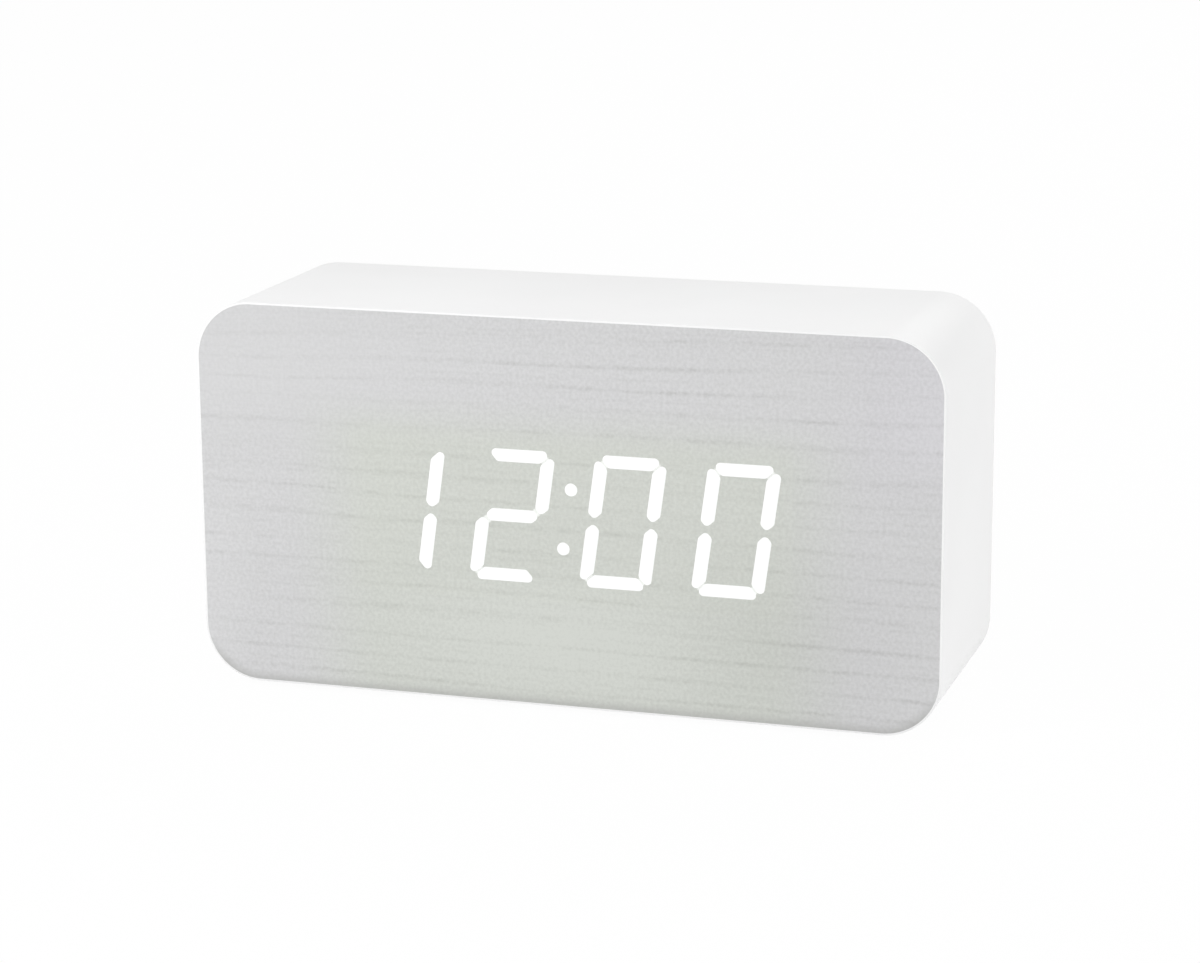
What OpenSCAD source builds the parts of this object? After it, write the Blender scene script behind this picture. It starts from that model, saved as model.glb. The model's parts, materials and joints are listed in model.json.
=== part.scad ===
/* [Case] */
// Width of the case
case_w = 150; // [144:1:180]
// Height of the case above its feet
case_h = 77; // [74:1:95]
// Depth of the case, front face to rear rim
case_d = 48; // [46:1:70]
// Radius of the four long edges
case_r = 11.5; // [9:0.5:14]
// Thickness of the fibreboard sleeve
sleeve_wall = 6; // [5:0.5:7]
// Thickness of the film wrapped round the case
wrap_t = 0.4; // [0.3:0.1:0.6]
// Thickness of the wood-grain film on the front
veneer_t = 0.5; // [0.4:0.1:0.8]
// Thickness of the fibreboard front panel
panel_t = 3; // [2.5:0.5:4]
// Height of the rubber feet
foot_h = 1; // [0.8:0.1:2]
// Radius of the rubber feet
foot_r = 5; // [4:0.5:6]

/* [Display] */
// Sideways place of the display's centre
display_x = 1.4; // [-3:0.1:3]
// Height of the display's centre above the case's centre
display_z = -0.7; // [-2:0.1:2]
// Distance from one digit to the next
digit_pitch = 22.4; // [21:0.1:23]
// Width of a digit between its bars' centrelines
digit_w = 11.7; // [10.5:0.1:12.5]
// Height of a digit between its bars' centrelines
digit_h = 23.8; // [21:0.1:25]
// Width of an upright bar
bar_w = 2.8; // [2.5:0.1:3]
// Height of a level bar
flat_w = 2.6; // [2.4:0.1:3]
// Lean of the digits in degrees
digit_slant = 8; // [0:1:10]
// Radius of the colon's dots
dot_r = 1.3; // [1:0.1:1.6]
// Spacing of the colon's dots
dot_spacing = 11.8; // [9:0.1:14]
// Width of the display window in the front panel
window_w = 89.5; // [88:0.5:91]
// Height of the display window in the front panel
window_h = 33.5; // [32:0.5:35]
// Depth of the reflector block
reflector_t = 8; // [7:0.5:9]
// Thickness of the light-spreading bars in the reflector
diffuser_t = 1.5; // [1:0.1:2]

/* [Boards] */
// Thickness of both circuit boards
board_t = 1.6; // [1:0.1:2]
// Width of the display board
board_w = 104; // [103:1:108]
// Height of the display board
board_h = 44; // [42:1:48]
// Width of the key board
key_board_w = 44; // [44:1:46]
// Height of the key board
key_board_h = 30; // [30:1:34]

/* [Rear cover] */
// Thickness of the rear cover
cover_t = 2.5; // [2.2:0.1:3]
// Depth of the cover's outer face inside the rear rim
cover_recess = 1; // [0.8:0.1:2]
// Radius of the push buttons
button_r = 3.5; // [3:0.1:4]
// Spacing of the push buttons
button_pitch = 14; // [12:0.5:15]
// Travel of the push buttons
button_travel = 0.5; // [0.3:0.1:0.6]
// Width of the power socket's shell
socket_w = 7.6; // [7:0.1:8]
// Height of the power socket's shell
socket_h = 2.9; // [2.5:0.1:3.2]

/* [Battery bay] */
// Radius of a battery cell
cell_r = 5.25; // [5:0.05:5.3]
// Length of a battery cell with its button end
cell_len = 44.5; // [43:0.1:45]
// Thickness of the bay's walls
bay_wall = 1.5; // [1.2:0.1:1.8]
// Thickness of the battery door
door_t = 1.8; // [1.6:0.1:2]
// Radius of the door's hinge barrel
barrel_r = 1.5; // [1.3:0.05:1.6]

/* [Hidden] */
$fn = 64;
over = 0.5;

// Levels from the front face to the rear rim
mid_z = foot_h + case_h / 2;
front_y = -case_d / 2;
veneer_y = front_y + veneer_t;
panel_y = veneer_y + panel_t;
ledge_y = veneer_y + diffuser_t;
board_y = veneer_y + reflector_t;
board_back_y = board_y + board_t;
rear_y = case_d / 2;
cover_out_y = rear_y - cover_recess;
cover_in_y = cover_out_y - cover_t;

// Sleeve
skin_w = case_w - 2 * wrap_t;
skin_h = case_h - 2 * wrap_t;
skin_r = case_r - wrap_t;
inner_w = skin_w - 2 * sleeve_wall;
inner_h = skin_h - 2 * sleeve_wall;
inner_r = max(skin_r - sleeve_wall, case_r / 10);
block_w = 10;
block_len = 14;
block_hole_r = 1.15;
block_gap = 0.3;
foot_inset_x = 16;
foot_inset_y = 5;

// Digits: which of the bars a to g is lit in each of the four places
bar_names = ["a", "b", "c", "d", "e", "f", "g"];
lit = ["bc", "abged", "abcdef", "abcdef"];
bar_gap = 0.2;
middle_gap = 0.3;
bar_corner_r = 0.9;
film_fit = 0.05;
window_fit = 0.2;
light_ledge = 0.5;
led_w = 1.6;
led_h = 0.8;
led_t = 0.6;

// Display board and what it carries
spacer_r = 3;
spacer_edge = 4;
board_hole_r = 1.15;
board_screw_r = 1.1;
board_screw_len = 5;
screw_head_r = 2.1;
screw_head_t = 1.4;
screw_slot_w = 0.6;
screw_slot_share = 1.4;
rear_head_t = 0.8;
rear_screw_len = 13;
driver_w = 18;
chip_h = 7.6;
driver_t = 2.4;
clock_w = 13;
clock_t = 1.8;
chip_z = 12;
clock_z = -1;
chip_x = 4;
crystal_w = 10.5;
crystal_h = 4.2;
crystal_t = 3.5;
crystal_z = -13;
capacitor_r = 2.5;
capacitor_t = 6.5;
capacitor_x = 27;
capacitor_z = 13;
coin_r = 10;
coin_t = 3.2;
coin_x = -35;
coin_z = 5;
holder_wall = 1.2;
holder_base = 0.8;
holder_fit = 0.25;
holder_gap_w = 8;
mic_r = 3;
mic_t = 4;
mic_x = 40;
mic_z = 13;

// Rear cover's bay
cell_gap = 0.8;
cell_fit = 0.5;
cell_seat = 0.3;
nub_r = 1.9;
nub_len = 1.2;
plate_t = 0.4;
plate_w = 9;
spring_len = 3;
spring_wide_r = 3.4;
spring_narrow_r = 2;
spring_wall = 0.7;
lug_w = 2.5;
lug_len = 1.5;
lug_fit = 0.1;
cell_pitch = 2 * cell_r + cell_gap;
bay_z = -2;
bay_len = 2 * plate_t + spring_len + cell_len;
bay_h = 2 * cell_pitch + 2 * cell_r + 2 * cell_fit;
door_in_y = cover_out_y - door_t;
cell_y = door_in_y - cell_seat - cell_r;
bay_floor_y = cell_y - cell_r - cell_seat;
bay_back_y = bay_floor_y - bay_wall;
door_gap = 0.25;
seat_gap = 0.1;
barrel_gap = 0.3;
hinge_y = cover_out_y - barrel_r;
hinge_z = bay_h / 2 + barrel_r + barrel_gap + bay_wall / 3;
hinge_pin_r = 0.7;
hinge_fit = 0.06;
hinge_pin_len = 1.6;
door_w = bay_len + 2 * bay_wall;
door_low = -bay_h / 2 - bay_wall;
tub_lap = 1;
tub_w = door_w + 2 * (door_gap + tub_lap);
bay_x = inner_w / 2 - block_w - block_gap - tub_w / 2;
tab_w = 12;
tab_h = 3;
grip_count = 4;
grip_r = 0.35;

// Key board
key_x = (bay_x - tub_w / 2 - inner_w / 2) / 2;
key_gap = 6.1;
key_back_y = cover_in_y - key_gap;
key_front_y = key_back_y - board_t;
button_z = 6.5;
button_flange_r = button_r + 1;
button_flange_t = 1.2;
button_proud = 0.6;
button_fit = 0.15;
button_crown = 0.3;
flange_gap = 0.3;
switch_w = 6;
switch_t = 3.5;
plunger_r = 1.7;
plunger_fit = 0.1;
plunger_len = 2.6;
plunger_top_y = cover_in_y - flange_gap - button_flange_t;
boss_r = 2.8;
boss_edge = 3.6;
boss_top_edge = 3;
boss_places = [[-key_board_w / 2 + boss_edge, -key_board_h / 2 + boss_edge],
  [key_board_w / 2 - boss_edge, -key_board_h / 2 + boss_edge],
  [-button_pitch / 2, key_board_h / 2 - boss_top_edge]];
socket_x = key_x - 11.5;
socket_z = -7;
socket_wall = 0.35;
socket_corner_r = 0.8;
socket_gap = 0.5;
socket_sunk = 0.4;
tongue_w = 5;
tongue_h = 0.7;
tongue_sunk = 1.2;
buzzer_r = 4.5;
buzzer_t = 4.6;
buzzer_x = key_x + 7;
buzzer_z = -6;
sound_hole_r = 0.8;
sound_ring_r = 2.8;
sound_holes = 6;
sensor_w = 2.4;
sensor_t = 1.6;
sensor_x = key_x - 2.5;
sensor_z = -12;
vent_w = 8;
vent_h = 1.2;
vent_pitch = 2.6;
vent_z = -19;

// Leads
ribbon_x = key_x + 10;
ribbon_z = -12;
ribbon_w = 6;
ribbon_t = 0.9;
ribbon_socket_w = 8;
ribbon_socket_h = 3.6;
ribbon_socket_t = 4.5;
lead_r = 0.65;
lead_bend = 2;
lead_turn_y = (board_back_y + bay_back_y) / 2;
plus_end_x = 14;
plus_end_z = 5;
minus_end_x = 46;
minus_end_z = -6;

// A flat outline in X and Z, drawn about the case's centre and made thick from one Y level to another
module slab(from_y, to_y) {
  translate([0, to_y, mid_z]) rotate([90, 0, 0]) linear_extrude(to_y - from_y) children();
}

// A rod along Y between two levels
module rod(r, from_y, to_y, x, z) {
  translate([x, to_y, mid_z + z]) rotate([90, 0, 0]) cylinder(r = r, h = to_y - from_y);
}

module rounded(w, h, r) {
  square([w, h - 2 * r], center = true);
  square([w - 2 * r, h], center = true);
  for (sx = [-1, 1], sz = [-1, 1]) translate([sx * (w / 2 - r), sz * (h / 2 - r)]) circle(r);
}

module stadium(w, h) {
  square([w - h, h], center = true);
  for (sx = [-1, 1]) translate([sx * (w - h) / 2, 0]) circle(h / 2);
}

module box_at(w, h, x, z) {
  translate([x, z]) square([w, h], center = true);
}

module skin_outline() rounded(skin_w, skin_h, skin_r);
module inner_outline() rounded(inner_w, inner_h, inner_r);

// Outline of one bar of an upright digit, centred on the digit
function bar_points(name) =
  let (w = digit_w / 2, h = digit_h / 2, t = bar_w / 2, f = flat_w / 2)
  let (flat = [[-w - f + bar_gap, h + f], [w + f - bar_gap, h + f],
               [w - f - bar_gap, h - f], [-w + f + bar_gap, h - f]])
  let (upright = [[w + t, h + t - bar_gap], [w + t, middle_gap + t], [w, middle_gap],
                  [w - t, middle_gap + t], [w - t, h - t - bar_gap]])
  let (middle = [[-w + middle_gap, 0], [-w + f + middle_gap, f], [w - f - middle_gap, f],
                 [w - middle_gap, 0], [w - f - middle_gap, -f], [-w + f + middle_gap, -f]])
  name == "a" ? flat : name == "d" ? [for (p = flat) [p[0], -p[1]]] :
  name == "b" ? upright : name == "c" ? [for (p = upright) [p[0], -p[1]]] :
  name == "f" ? [for (p = upright) [-p[0], p[1]]] :
  name == "e" ? [for (p = upright) [-p[0], -p[1]]] : middle;

function digit_x(place) = display_x + (place - 1.5) * digit_pitch;
function is_lit(place, name) = len(search(name, lit[place])) > 0;
function lean(z) = z * tan(digit_slant);

module sharp_bar(place, name) {
  translate([digit_x(place), display_z])
    polygon([for (p = bar_points(name)) [p[0] + lean(p[1]), p[1]]]);
}

module bar_outline(place, name, shrink) {
  offset(r = bar_corner_r - shrink, $fn = 16) offset(delta = -bar_corner_r) sharp_bar(place, name);
}

module dot_outline(shrink) {
  for (s = [-1, 1])
    translate([display_x + lean(s * dot_spacing / 2), display_z + s * dot_spacing / 2])
      circle(dot_r - shrink);
}

module lit_outlines(place, shrink) {
  for (name = bar_names) if (is_lit(place, name)) bar_outline(place, name, shrink);
}

module unlit_outlines(shrink) {
  for (place = [0:3], name = bar_names)
    if (!is_lit(place, name)) bar_outline(place, name, shrink);
}

module lit_bars(place) {
  color("white") slab(front_y, ledge_y) lit_outlines(place, film_fit);
}

// Places of the four screws in the corners of a board
module at_board_corners(r, from_y, to_y) {
  for (sx = [-1, 1], sz = [-1, 1])
    rod(r, from_y, to_y, display_x + sx * (board_w / 2 - spacer_edge),
        display_z + sz * (board_h / 2 - spacer_edge));
}

module at_block_centres(r, from_y, to_y) {
  for (sx = [-1, 1], sz = [-1, 1])
    rod(r, from_y, to_y, sx * (inner_w - block_w) / 2, sz * (inner_h - block_w) / 2);
}

module at_bosses(r, from_y, to_y) {
  for (p = boss_places) rod(r, from_y, to_y, key_x + p[0], p[1]);
}

module cross_recess(x, z) {
  box_at(screw_slot_w, screw_slot_share * screw_head_r, x, z);
  box_at(screw_slot_share * screw_head_r, screw_slot_w, x, z);
}

module case_sleeve() color("tan") slab(panel_y, rear_y - wrap_t) difference() {
  skin_outline();
  inner_outline();
}

module wrap_film() color("white") {
  slab(front_y, rear_y - wrap_t) difference() {
    rounded(case_w, case_h, case_r);
    skin_outline();
  }
  slab(rear_y - wrap_t, rear_y) difference() {
    rounded(case_w, case_h, case_r);
    inner_outline();
  }
}

module front_panel() color("burlywood") slab(veneer_y, panel_y) difference() {
  skin_outline();
  box_at(window_w, window_h, display_x, display_z);
}

module front_veneer() color("gainsboro") slab(front_y, veneer_y) difference() {
  skin_outline();
  for (place = [0:3]) lit_outlines(place, 0);
  dot_outline(0);
}

module corner_blocks() color("burlywood") difference() {
  slab(cover_in_y - block_len, cover_in_y) intersection() {
    inner_outline();
    for (sx = [-1, 1], sz = [-1, 1])
      box_at(block_w, block_w, sx * (inner_w - block_w) / 2, sz * (inner_h - block_w) / 2);
  }
  at_block_centres(block_hole_r, cover_in_y - block_len + over, cover_in_y + over);
}

module rubber_feet() color("dimgray")
  for (sx = [-1, 1], sy = [-1, 1])
    translate([sx * (case_w / 2 - foot_inset_x), sy * (case_d / 2 - foot_inset_y - foot_r), 0])
      cylinder(r = foot_r, h = foot_h);

module display_reflector() color("lightgray") difference() {
  slab(veneer_y, board_y) box_at(window_w - 2 * window_fit, window_h - 2 * window_fit, display_x, display_z);
  slab(veneer_y - over, ledge_y) {
    for (place = [0:3]) lit_outlines(place, 0);
    unlit_outlines(0);
    dot_outline(0);
  }
  slab(ledge_y - over, board_y + over) {
    for (place = [0:3], name = bar_names) offset(delta = -light_ledge) sharp_bar(place, name);
    dot_outline(light_ledge);
  }
}

module unlit_bars() color("gray") slab(veneer_y, ledge_y) unlit_outlines(film_fit);

module colon_dots() color("white") slab(front_y, ledge_y) dot_outline(film_fit);

// Light sources stand on the board at the middle of each bar and dot
function bar_centre(name) =
  let (x = digit_w / 2, z = digit_h / 2)
  name == "a" ? [0, z] : name == "d" ? [0, -z] : name == "g" ? [0, 0] :
  [name == "b" || name == "c" ? x : -x, name == "b" || name == "f" ? z / 2 : -z / 2];

module led_chips() color("khaki") slab(board_y - led_t, board_y) {
  for (place = [0:3], name = bar_names)
    let (p = bar_centre(name))
      box_at(led_h, led_w, digit_x(place) + p[0] + lean(p[1]), display_z + p[1]);
  for (s = [-1, 1])
    box_at(led_h, led_h, display_x + lean(s * dot_spacing / 2), display_z + s * dot_spacing / 2);
}

module display_board() color("seagreen") difference() {
  slab(board_y, board_back_y) box_at(board_w, board_h, display_x, display_z);
  at_board_corners(board_hole_r, board_y - over, board_back_y + over);
}

module board_spacers() color("ivory") difference() {
  at_board_corners(spacer_r, panel_y, board_y);
  at_board_corners(board_hole_r, panel_y + over, board_y + over);
}

module board_screws() color("silver") difference() {
  union() {
    at_board_corners(board_screw_r, board_back_y - board_screw_len, board_back_y);
    at_board_corners(screw_head_r, board_back_y, board_back_y + screw_head_t);
  }
  slab(board_back_y + screw_head_t / 2, board_back_y + screw_head_t + over)
    for (sx = [-1, 1], sz = [-1, 1])
      cross_recess(display_x + sx * (board_w / 2 - spacer_edge),
                   display_z + sz * (board_h / 2 - spacer_edge));
}

module on_display_board(t) slab(board_back_y, board_back_y + t) children();

module driver_chip() color("black") on_display_board(driver_t) box_at(driver_w, chip_h, chip_x, chip_z);
module clock_chip() color("black") on_display_board(clock_t) box_at(clock_w, chip_h, chip_x, clock_z);
module crystal() color("silver") on_display_board(crystal_t)
  translate([chip_x, crystal_z]) stadium(crystal_w, crystal_h);
module capacitor() color("navy")
  rod(capacitor_r, board_back_y, board_back_y + capacitor_t, capacitor_x, capacitor_z);
module sound_sensor() color("silver") rod(mic_r, board_back_y, board_back_y + mic_t, mic_x, mic_z);

module coin_cell_holder() color("dimgray") difference() {
  rod(coin_r + holder_fit + holder_wall, board_back_y, board_back_y + holder_base + coin_t, coin_x, coin_z);
  rod(coin_r + holder_fit, board_back_y + holder_base, board_back_y + holder_base + coin_t + over, coin_x, coin_z);
  slab(board_back_y + holder_base, board_back_y + holder_base + coin_t + over)
    box_at(holder_gap_w, 2 * coin_r, coin_x, coin_z - coin_r);
}

module coin_cell() color("silver")
  rod(coin_r, board_back_y + holder_base, board_back_y + holder_base + coin_t, coin_x, coin_z);

module ribbon_sockets() color("ivory") {
  on_display_board(ribbon_socket_t) box_at(ribbon_socket_w, ribbon_socket_h, ribbon_x, ribbon_z);
  slab(key_front_y - ribbon_socket_t, key_front_y)
    box_at(ribbon_socket_w, ribbon_socket_h, ribbon_x, ribbon_z);
}

module ribbon_lead() color("gray")
  slab(board_back_y + ribbon_socket_t, key_front_y - ribbon_socket_t)
    box_at(ribbon_w, ribbon_t, ribbon_x, ribbon_z);

// A round lead from the bay's back to the display board: straight, a bend, straight, a bend, straight
module lead(from_x, from_z, to_x, to_z) {
  run_x = to_x - from_x;
  run_z = to_z - from_z;
  run = norm([run_x, run_z]);
  translate([from_x, 0, mid_z + from_z]) rotate([0, -atan2(run_z, run_x), 0]) {
    translate([0, lead_turn_y + lead_bend, 0]) rotate([-90, 0, 0])
      cylinder(r = lead_r, h = bay_back_y - lug_len - lead_turn_y - lead_bend);
    translate([lead_bend, lead_turn_y + lead_bend, 0]) rotate([0, 0, 180])
      rotate_extrude(angle = 90) translate([lead_bend, 0]) circle(lead_r);
    translate([lead_bend, lead_turn_y, 0]) rotate([0, 90, 0]) cylinder(r = lead_r, h = run - 2 * lead_bend);
    translate([run - lead_bend, lead_turn_y - lead_bend, 0])
      rotate_extrude(angle = 90) translate([lead_bend, 0]) circle(lead_r);
    translate([run, board_back_y, 0]) rotate([-90, 0, 0])
      cylinder(r = lead_r, h = lead_turn_y - lead_bend - board_back_y);
  }
}

plus_x = bay_x - bay_len / 2 + plate_t / 2;
minus_x = bay_x + bay_len / 2 - plate_t / 2;
cell_rows = [1, 0, -1];

module battery_leads() color("firebrick") {
  lead(plus_x, bay_z + cell_pitch, plus_end_x, plus_end_z);
  lead(minus_x, bay_z - cell_pitch, minus_end_x, minus_end_z);
}

module door_opening() translate([bay_x, bay_z]) {
  translate([-door_w / 2 - door_gap, door_low - door_gap])
    square([door_w + 2 * door_gap, hinge_z + barrel_gap + barrel_r + seat_gap - door_low + door_gap]);
  translate([0, door_low - tab_h / 2])
    square([tab_w + 2 * door_gap, tab_h + 2 * door_gap], center = true);
}

module tub_outline() translate([bay_x, bay_z])
  translate([-tub_w / 2, door_low - door_gap - tub_lap])
    square([tub_w,
            hinge_z + barrel_gap + barrel_r + 2 * tub_lap - door_low + door_gap]);

module hinge_rod(r, length) translate([bay_x - length / 2, hinge_y, mid_z + bay_z + hinge_z])
  rotate([0, 90, 0]) cylinder(r = r, h = length);

module lug_slots(extra) slab(bay_back_y - over, bay_floor_y + over) {
  box_at(plate_t + 2 * extra, lug_w + 2 * extra, plus_x, bay_z + cell_pitch);
  box_at(plate_t + 2 * extra, lug_w + 2 * extra, minus_x, bay_z - cell_pitch);
}

function button_x(i) = key_x + i * button_pitch;

module rear_cover() color("whitesmoke") difference() {
  union() {
    slab(cover_in_y, cover_out_y)
      rounded(inner_w - 2 * window_fit, inner_h - 2 * window_fit, inner_r);
    slab(bay_back_y, cover_in_y) tub_outline();
    at_bosses(boss_r, key_back_y, cover_in_y);
  }
  slab(bay_floor_y, cover_out_y + over) box_at(bay_len, bay_h, bay_x, bay_z);
  slab(door_in_y - seat_gap, cover_out_y + over) door_opening();
  hinge_rod(barrel_r + barrel_gap, door_w + 2 * door_gap);
  hinge_rod(hinge_pin_r + hinge_fit, door_w + 2 * (door_gap + hinge_pin_len));
  lug_slots(lug_fit);
  at_bosses(board_hole_r, key_back_y - over, cover_in_y);
  at_block_centres(block_hole_r + window_fit, cover_in_y - over, cover_out_y + over);
  for (i = [-1:1]) rod(button_r + button_fit, cover_in_y - over, cover_out_y + over, button_x(i), button_z);
  slab(cover_in_y - over, cover_out_y + over) {
    translate([socket_x, socket_z]) rounded(socket_w + 2 * socket_gap, socket_h + 2 * socket_gap, socket_corner_r + socket_gap);
    for (i = [0:sound_holes - 1])
      translate([buzzer_x + sound_ring_r * cos(i * 360 / sound_holes),
                 buzzer_z + sound_ring_r * sin(i * 360 / sound_holes)]) circle(sound_hole_r, $fn = 24);
    translate([buzzer_x, buzzer_z]) circle(sound_hole_r, $fn = 24);
    for (i = [-1:1]) translate([key_x, vent_z + i * vent_pitch]) stadium(vent_w, vent_h);
  }
}

module rear_screws() color("silver") difference() {
  union() {
    at_block_centres(board_screw_r, cover_out_y - rear_screw_len, cover_out_y);
    at_block_centres(screw_head_r, cover_out_y, cover_out_y + rear_head_t);
  }
  slab(cover_out_y + rear_head_t / 3, rear_y + over)
    for (sx = [-1, 1], sz = [-1, 1])
      cross_recess(sx * (inner_w - block_w) / 2, sz * (inner_h - block_w) / 2);
}

module key_board() color("seagreen") difference() {
  slab(key_front_y, key_back_y) box_at(key_board_w, key_board_h, key_x, 0);
  at_bosses(board_hole_r, key_front_y - over, key_back_y + over);
}

module key_board_screws() color("silver") {
  at_bosses(board_screw_r, key_front_y, key_front_y + board_screw_len);
  at_bosses(screw_head_r, key_front_y - screw_head_t, key_front_y);
}

module switch_bodies() color("black") difference() {
  slab(key_back_y, key_back_y + switch_t)
    for (i = [-1:1]) box_at(switch_w, switch_w, button_x(i), button_z);
  for (i = [-1:1])
    rod(plunger_r + plunger_fit, plunger_top_y - plunger_len - button_travel - plunger_fit,
        key_back_y + switch_t + over, button_x(i), button_z);
}

module plunger(i) color("ivory") rod(plunger_r, plunger_top_y - plunger_len, plunger_top_y, button_x(i), button_z);

module button(i) color("gainsboro") {
  rod(button_flange_r, plunger_top_y, plunger_top_y + button_flange_t, button_x(i), button_z);
  rod(button_r, plunger_top_y, cover_out_y + button_proud - button_crown, button_x(i), button_z);
  rod(button_r - button_crown, plunger_top_y, cover_out_y + button_proud, button_x(i), button_z);
}

module power_socket() color("silver") difference() {
  slab(key_back_y, cover_out_y - socket_sunk)
    translate([socket_x, socket_z]) rounded(socket_w, socket_h, socket_corner_r);
  slab(key_back_y + socket_wall, cover_out_y) translate([socket_x, socket_z])
    rounded(socket_w - 2 * socket_wall, socket_h - 2 * socket_wall, socket_corner_r - socket_wall);
}

module socket_tongue() color("black")
  slab(key_back_y + socket_wall, cover_out_y - tongue_sunk) box_at(tongue_w, tongue_h, socket_x, socket_z);

module buzzer() color("black") difference() {
  rod(buzzer_r, key_back_y, key_back_y + buzzer_t, buzzer_x, buzzer_z);
  rod(sound_hole_r, key_back_y + buzzer_t / 2, key_back_y + buzzer_t + over, buzzer_x, buzzer_z);
}

module temperature_sensor() color("black")
  slab(key_back_y, key_back_y + sensor_t) box_at(sensor_w, sensor_w, sensor_x, sensor_z);

module contact_plates() color("silver") {
  slab(cell_y - plate_w / 2, cell_y + plate_w / 2) {
    box_at(plate_t, plate_w, plus_x, bay_z + cell_pitch);
    box_at(plate_t, plate_w + cell_pitch, plus_x, bay_z - cell_pitch / 2);
    box_at(plate_t, plate_w + cell_pitch, minus_x, bay_z + cell_pitch / 2);
    box_at(plate_t, plate_w, minus_x, bay_z - cell_pitch);
  }
  slab(bay_back_y - lug_len, cell_y) {
    box_at(plate_t, lug_w, plus_x, bay_z + cell_pitch);
    box_at(plate_t, lug_w, minus_x, bay_z - cell_pitch);
  }
}

// The button end of a cell points to the left in the outer rows and to the right in the middle row
module in_cell_place(row) translate([bay_x, cell_y, mid_z + bay_z + row * cell_pitch])
  rotate([0, row == 0 ? 90 : -90, 0]) translate([0, 0, -bay_len / 2 + plate_t]) children();

module contact_springs() color("silver") for (row = cell_rows) in_cell_place(row) difference() {
  cylinder(r1 = spring_wide_r, r2 = spring_narrow_r, h = spring_len);
  translate([0, 0, -over]) cylinder(r = spring_narrow_r - spring_wall, h = spring_len + 2 * over);
}

module battery_cells() color("slategray") for (row = cell_rows) in_cell_place(row)
  translate([0, 0, spring_len]) {
    cylinder(r = cell_r, h = cell_len - nub_len);
    cylinder(r = nub_r, h = cell_len);
  }

module battery_door() color("whitesmoke") {
  difference() {
    slab(door_in_y, cover_out_y) translate([bay_x, bay_z]) {
      translate([-door_w / 2, door_low]) square([door_w, hinge_z - door_low]);
      translate([0, door_low - tab_h / 2]) square([tab_w, tab_h], center = true);
    }
    for (i = [0:grip_count - 1])
      translate([bay_x - tab_w / 3, cover_out_y, mid_z + bay_z + door_low + (i - grip_count / 2) * 4 * grip_r])
        rotate([0, 90, 0]) cylinder(r = grip_r, h = 2 * tab_w / 3, $fn = 24);
  }
  hinge_rod(barrel_r, door_w);
  hinge_rod(hinge_pin_r, door_w + 2 * (door_gap + hinge_pin_len - plunger_fit));
}

case_sleeve();
wrap_film();
front_panel();
front_veneer();
corner_blocks();
rubber_feet();
display_reflector();
lit_bars(0);  // hour_tens_bars
lit_bars(1);  // hour_units_bars
lit_bars(2);  // minute_tens_bars
lit_bars(3);  // minute_units_bars
unlit_bars();
colon_dots();
led_chips();
display_board();
board_spacers();
board_screws();
driver_chip();
clock_chip();
crystal();
capacitor();
coin_cell_holder();
coin_cell();
sound_sensor();
ribbon_sockets();
ribbon_lead();
battery_leads();
rear_cover();
rear_screws();
key_board();
key_board_screws();
switch_bodies();
plunger(-1);  // set_plunger
plunger(0);  // up_plunger
plunger(1);  // down_plunger
button(-1);  // set_button
button(0);  // up_button
button(1);  // down_button
power_socket();
socket_tongue();
buzzer();
temperature_sensor();
contact_plates();
contact_springs();
battery_cells();
battery_door();
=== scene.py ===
import json
from math import cos, pi, radians, sin
import bmesh
import bpy
from mathutils import Matrix, Vector


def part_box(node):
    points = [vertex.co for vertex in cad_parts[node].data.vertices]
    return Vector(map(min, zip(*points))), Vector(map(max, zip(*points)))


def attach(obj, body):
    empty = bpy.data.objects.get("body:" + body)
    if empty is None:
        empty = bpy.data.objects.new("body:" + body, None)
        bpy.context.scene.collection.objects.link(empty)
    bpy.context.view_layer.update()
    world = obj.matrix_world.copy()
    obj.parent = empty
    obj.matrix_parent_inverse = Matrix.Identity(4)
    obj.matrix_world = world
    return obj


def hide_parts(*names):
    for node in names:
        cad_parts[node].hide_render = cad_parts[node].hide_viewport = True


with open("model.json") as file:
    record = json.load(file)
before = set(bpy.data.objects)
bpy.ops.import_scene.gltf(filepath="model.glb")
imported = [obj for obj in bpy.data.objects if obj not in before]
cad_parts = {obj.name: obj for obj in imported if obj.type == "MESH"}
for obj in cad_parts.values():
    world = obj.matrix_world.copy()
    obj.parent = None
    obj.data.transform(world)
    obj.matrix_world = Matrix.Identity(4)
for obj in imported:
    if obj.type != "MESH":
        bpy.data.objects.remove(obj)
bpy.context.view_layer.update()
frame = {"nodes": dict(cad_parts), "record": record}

nodes = frame["nodes"]
touch = 1e-7  # points nearer than this are one point
finishes = {}  # the material of each slot

# Wiring of shader nodes


def feed(tree, plug, value):
    # links a wire to a socket, or sets a value on it; a colour may be three screen values
    if isinstance(value, Wire):
        tree.links.new(value.socket, plug)
    elif plug.type == "RGBA" and len(value) == 3:
        plug.default_value = srgb(*value)
    else:
        plug.default_value = value


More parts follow.
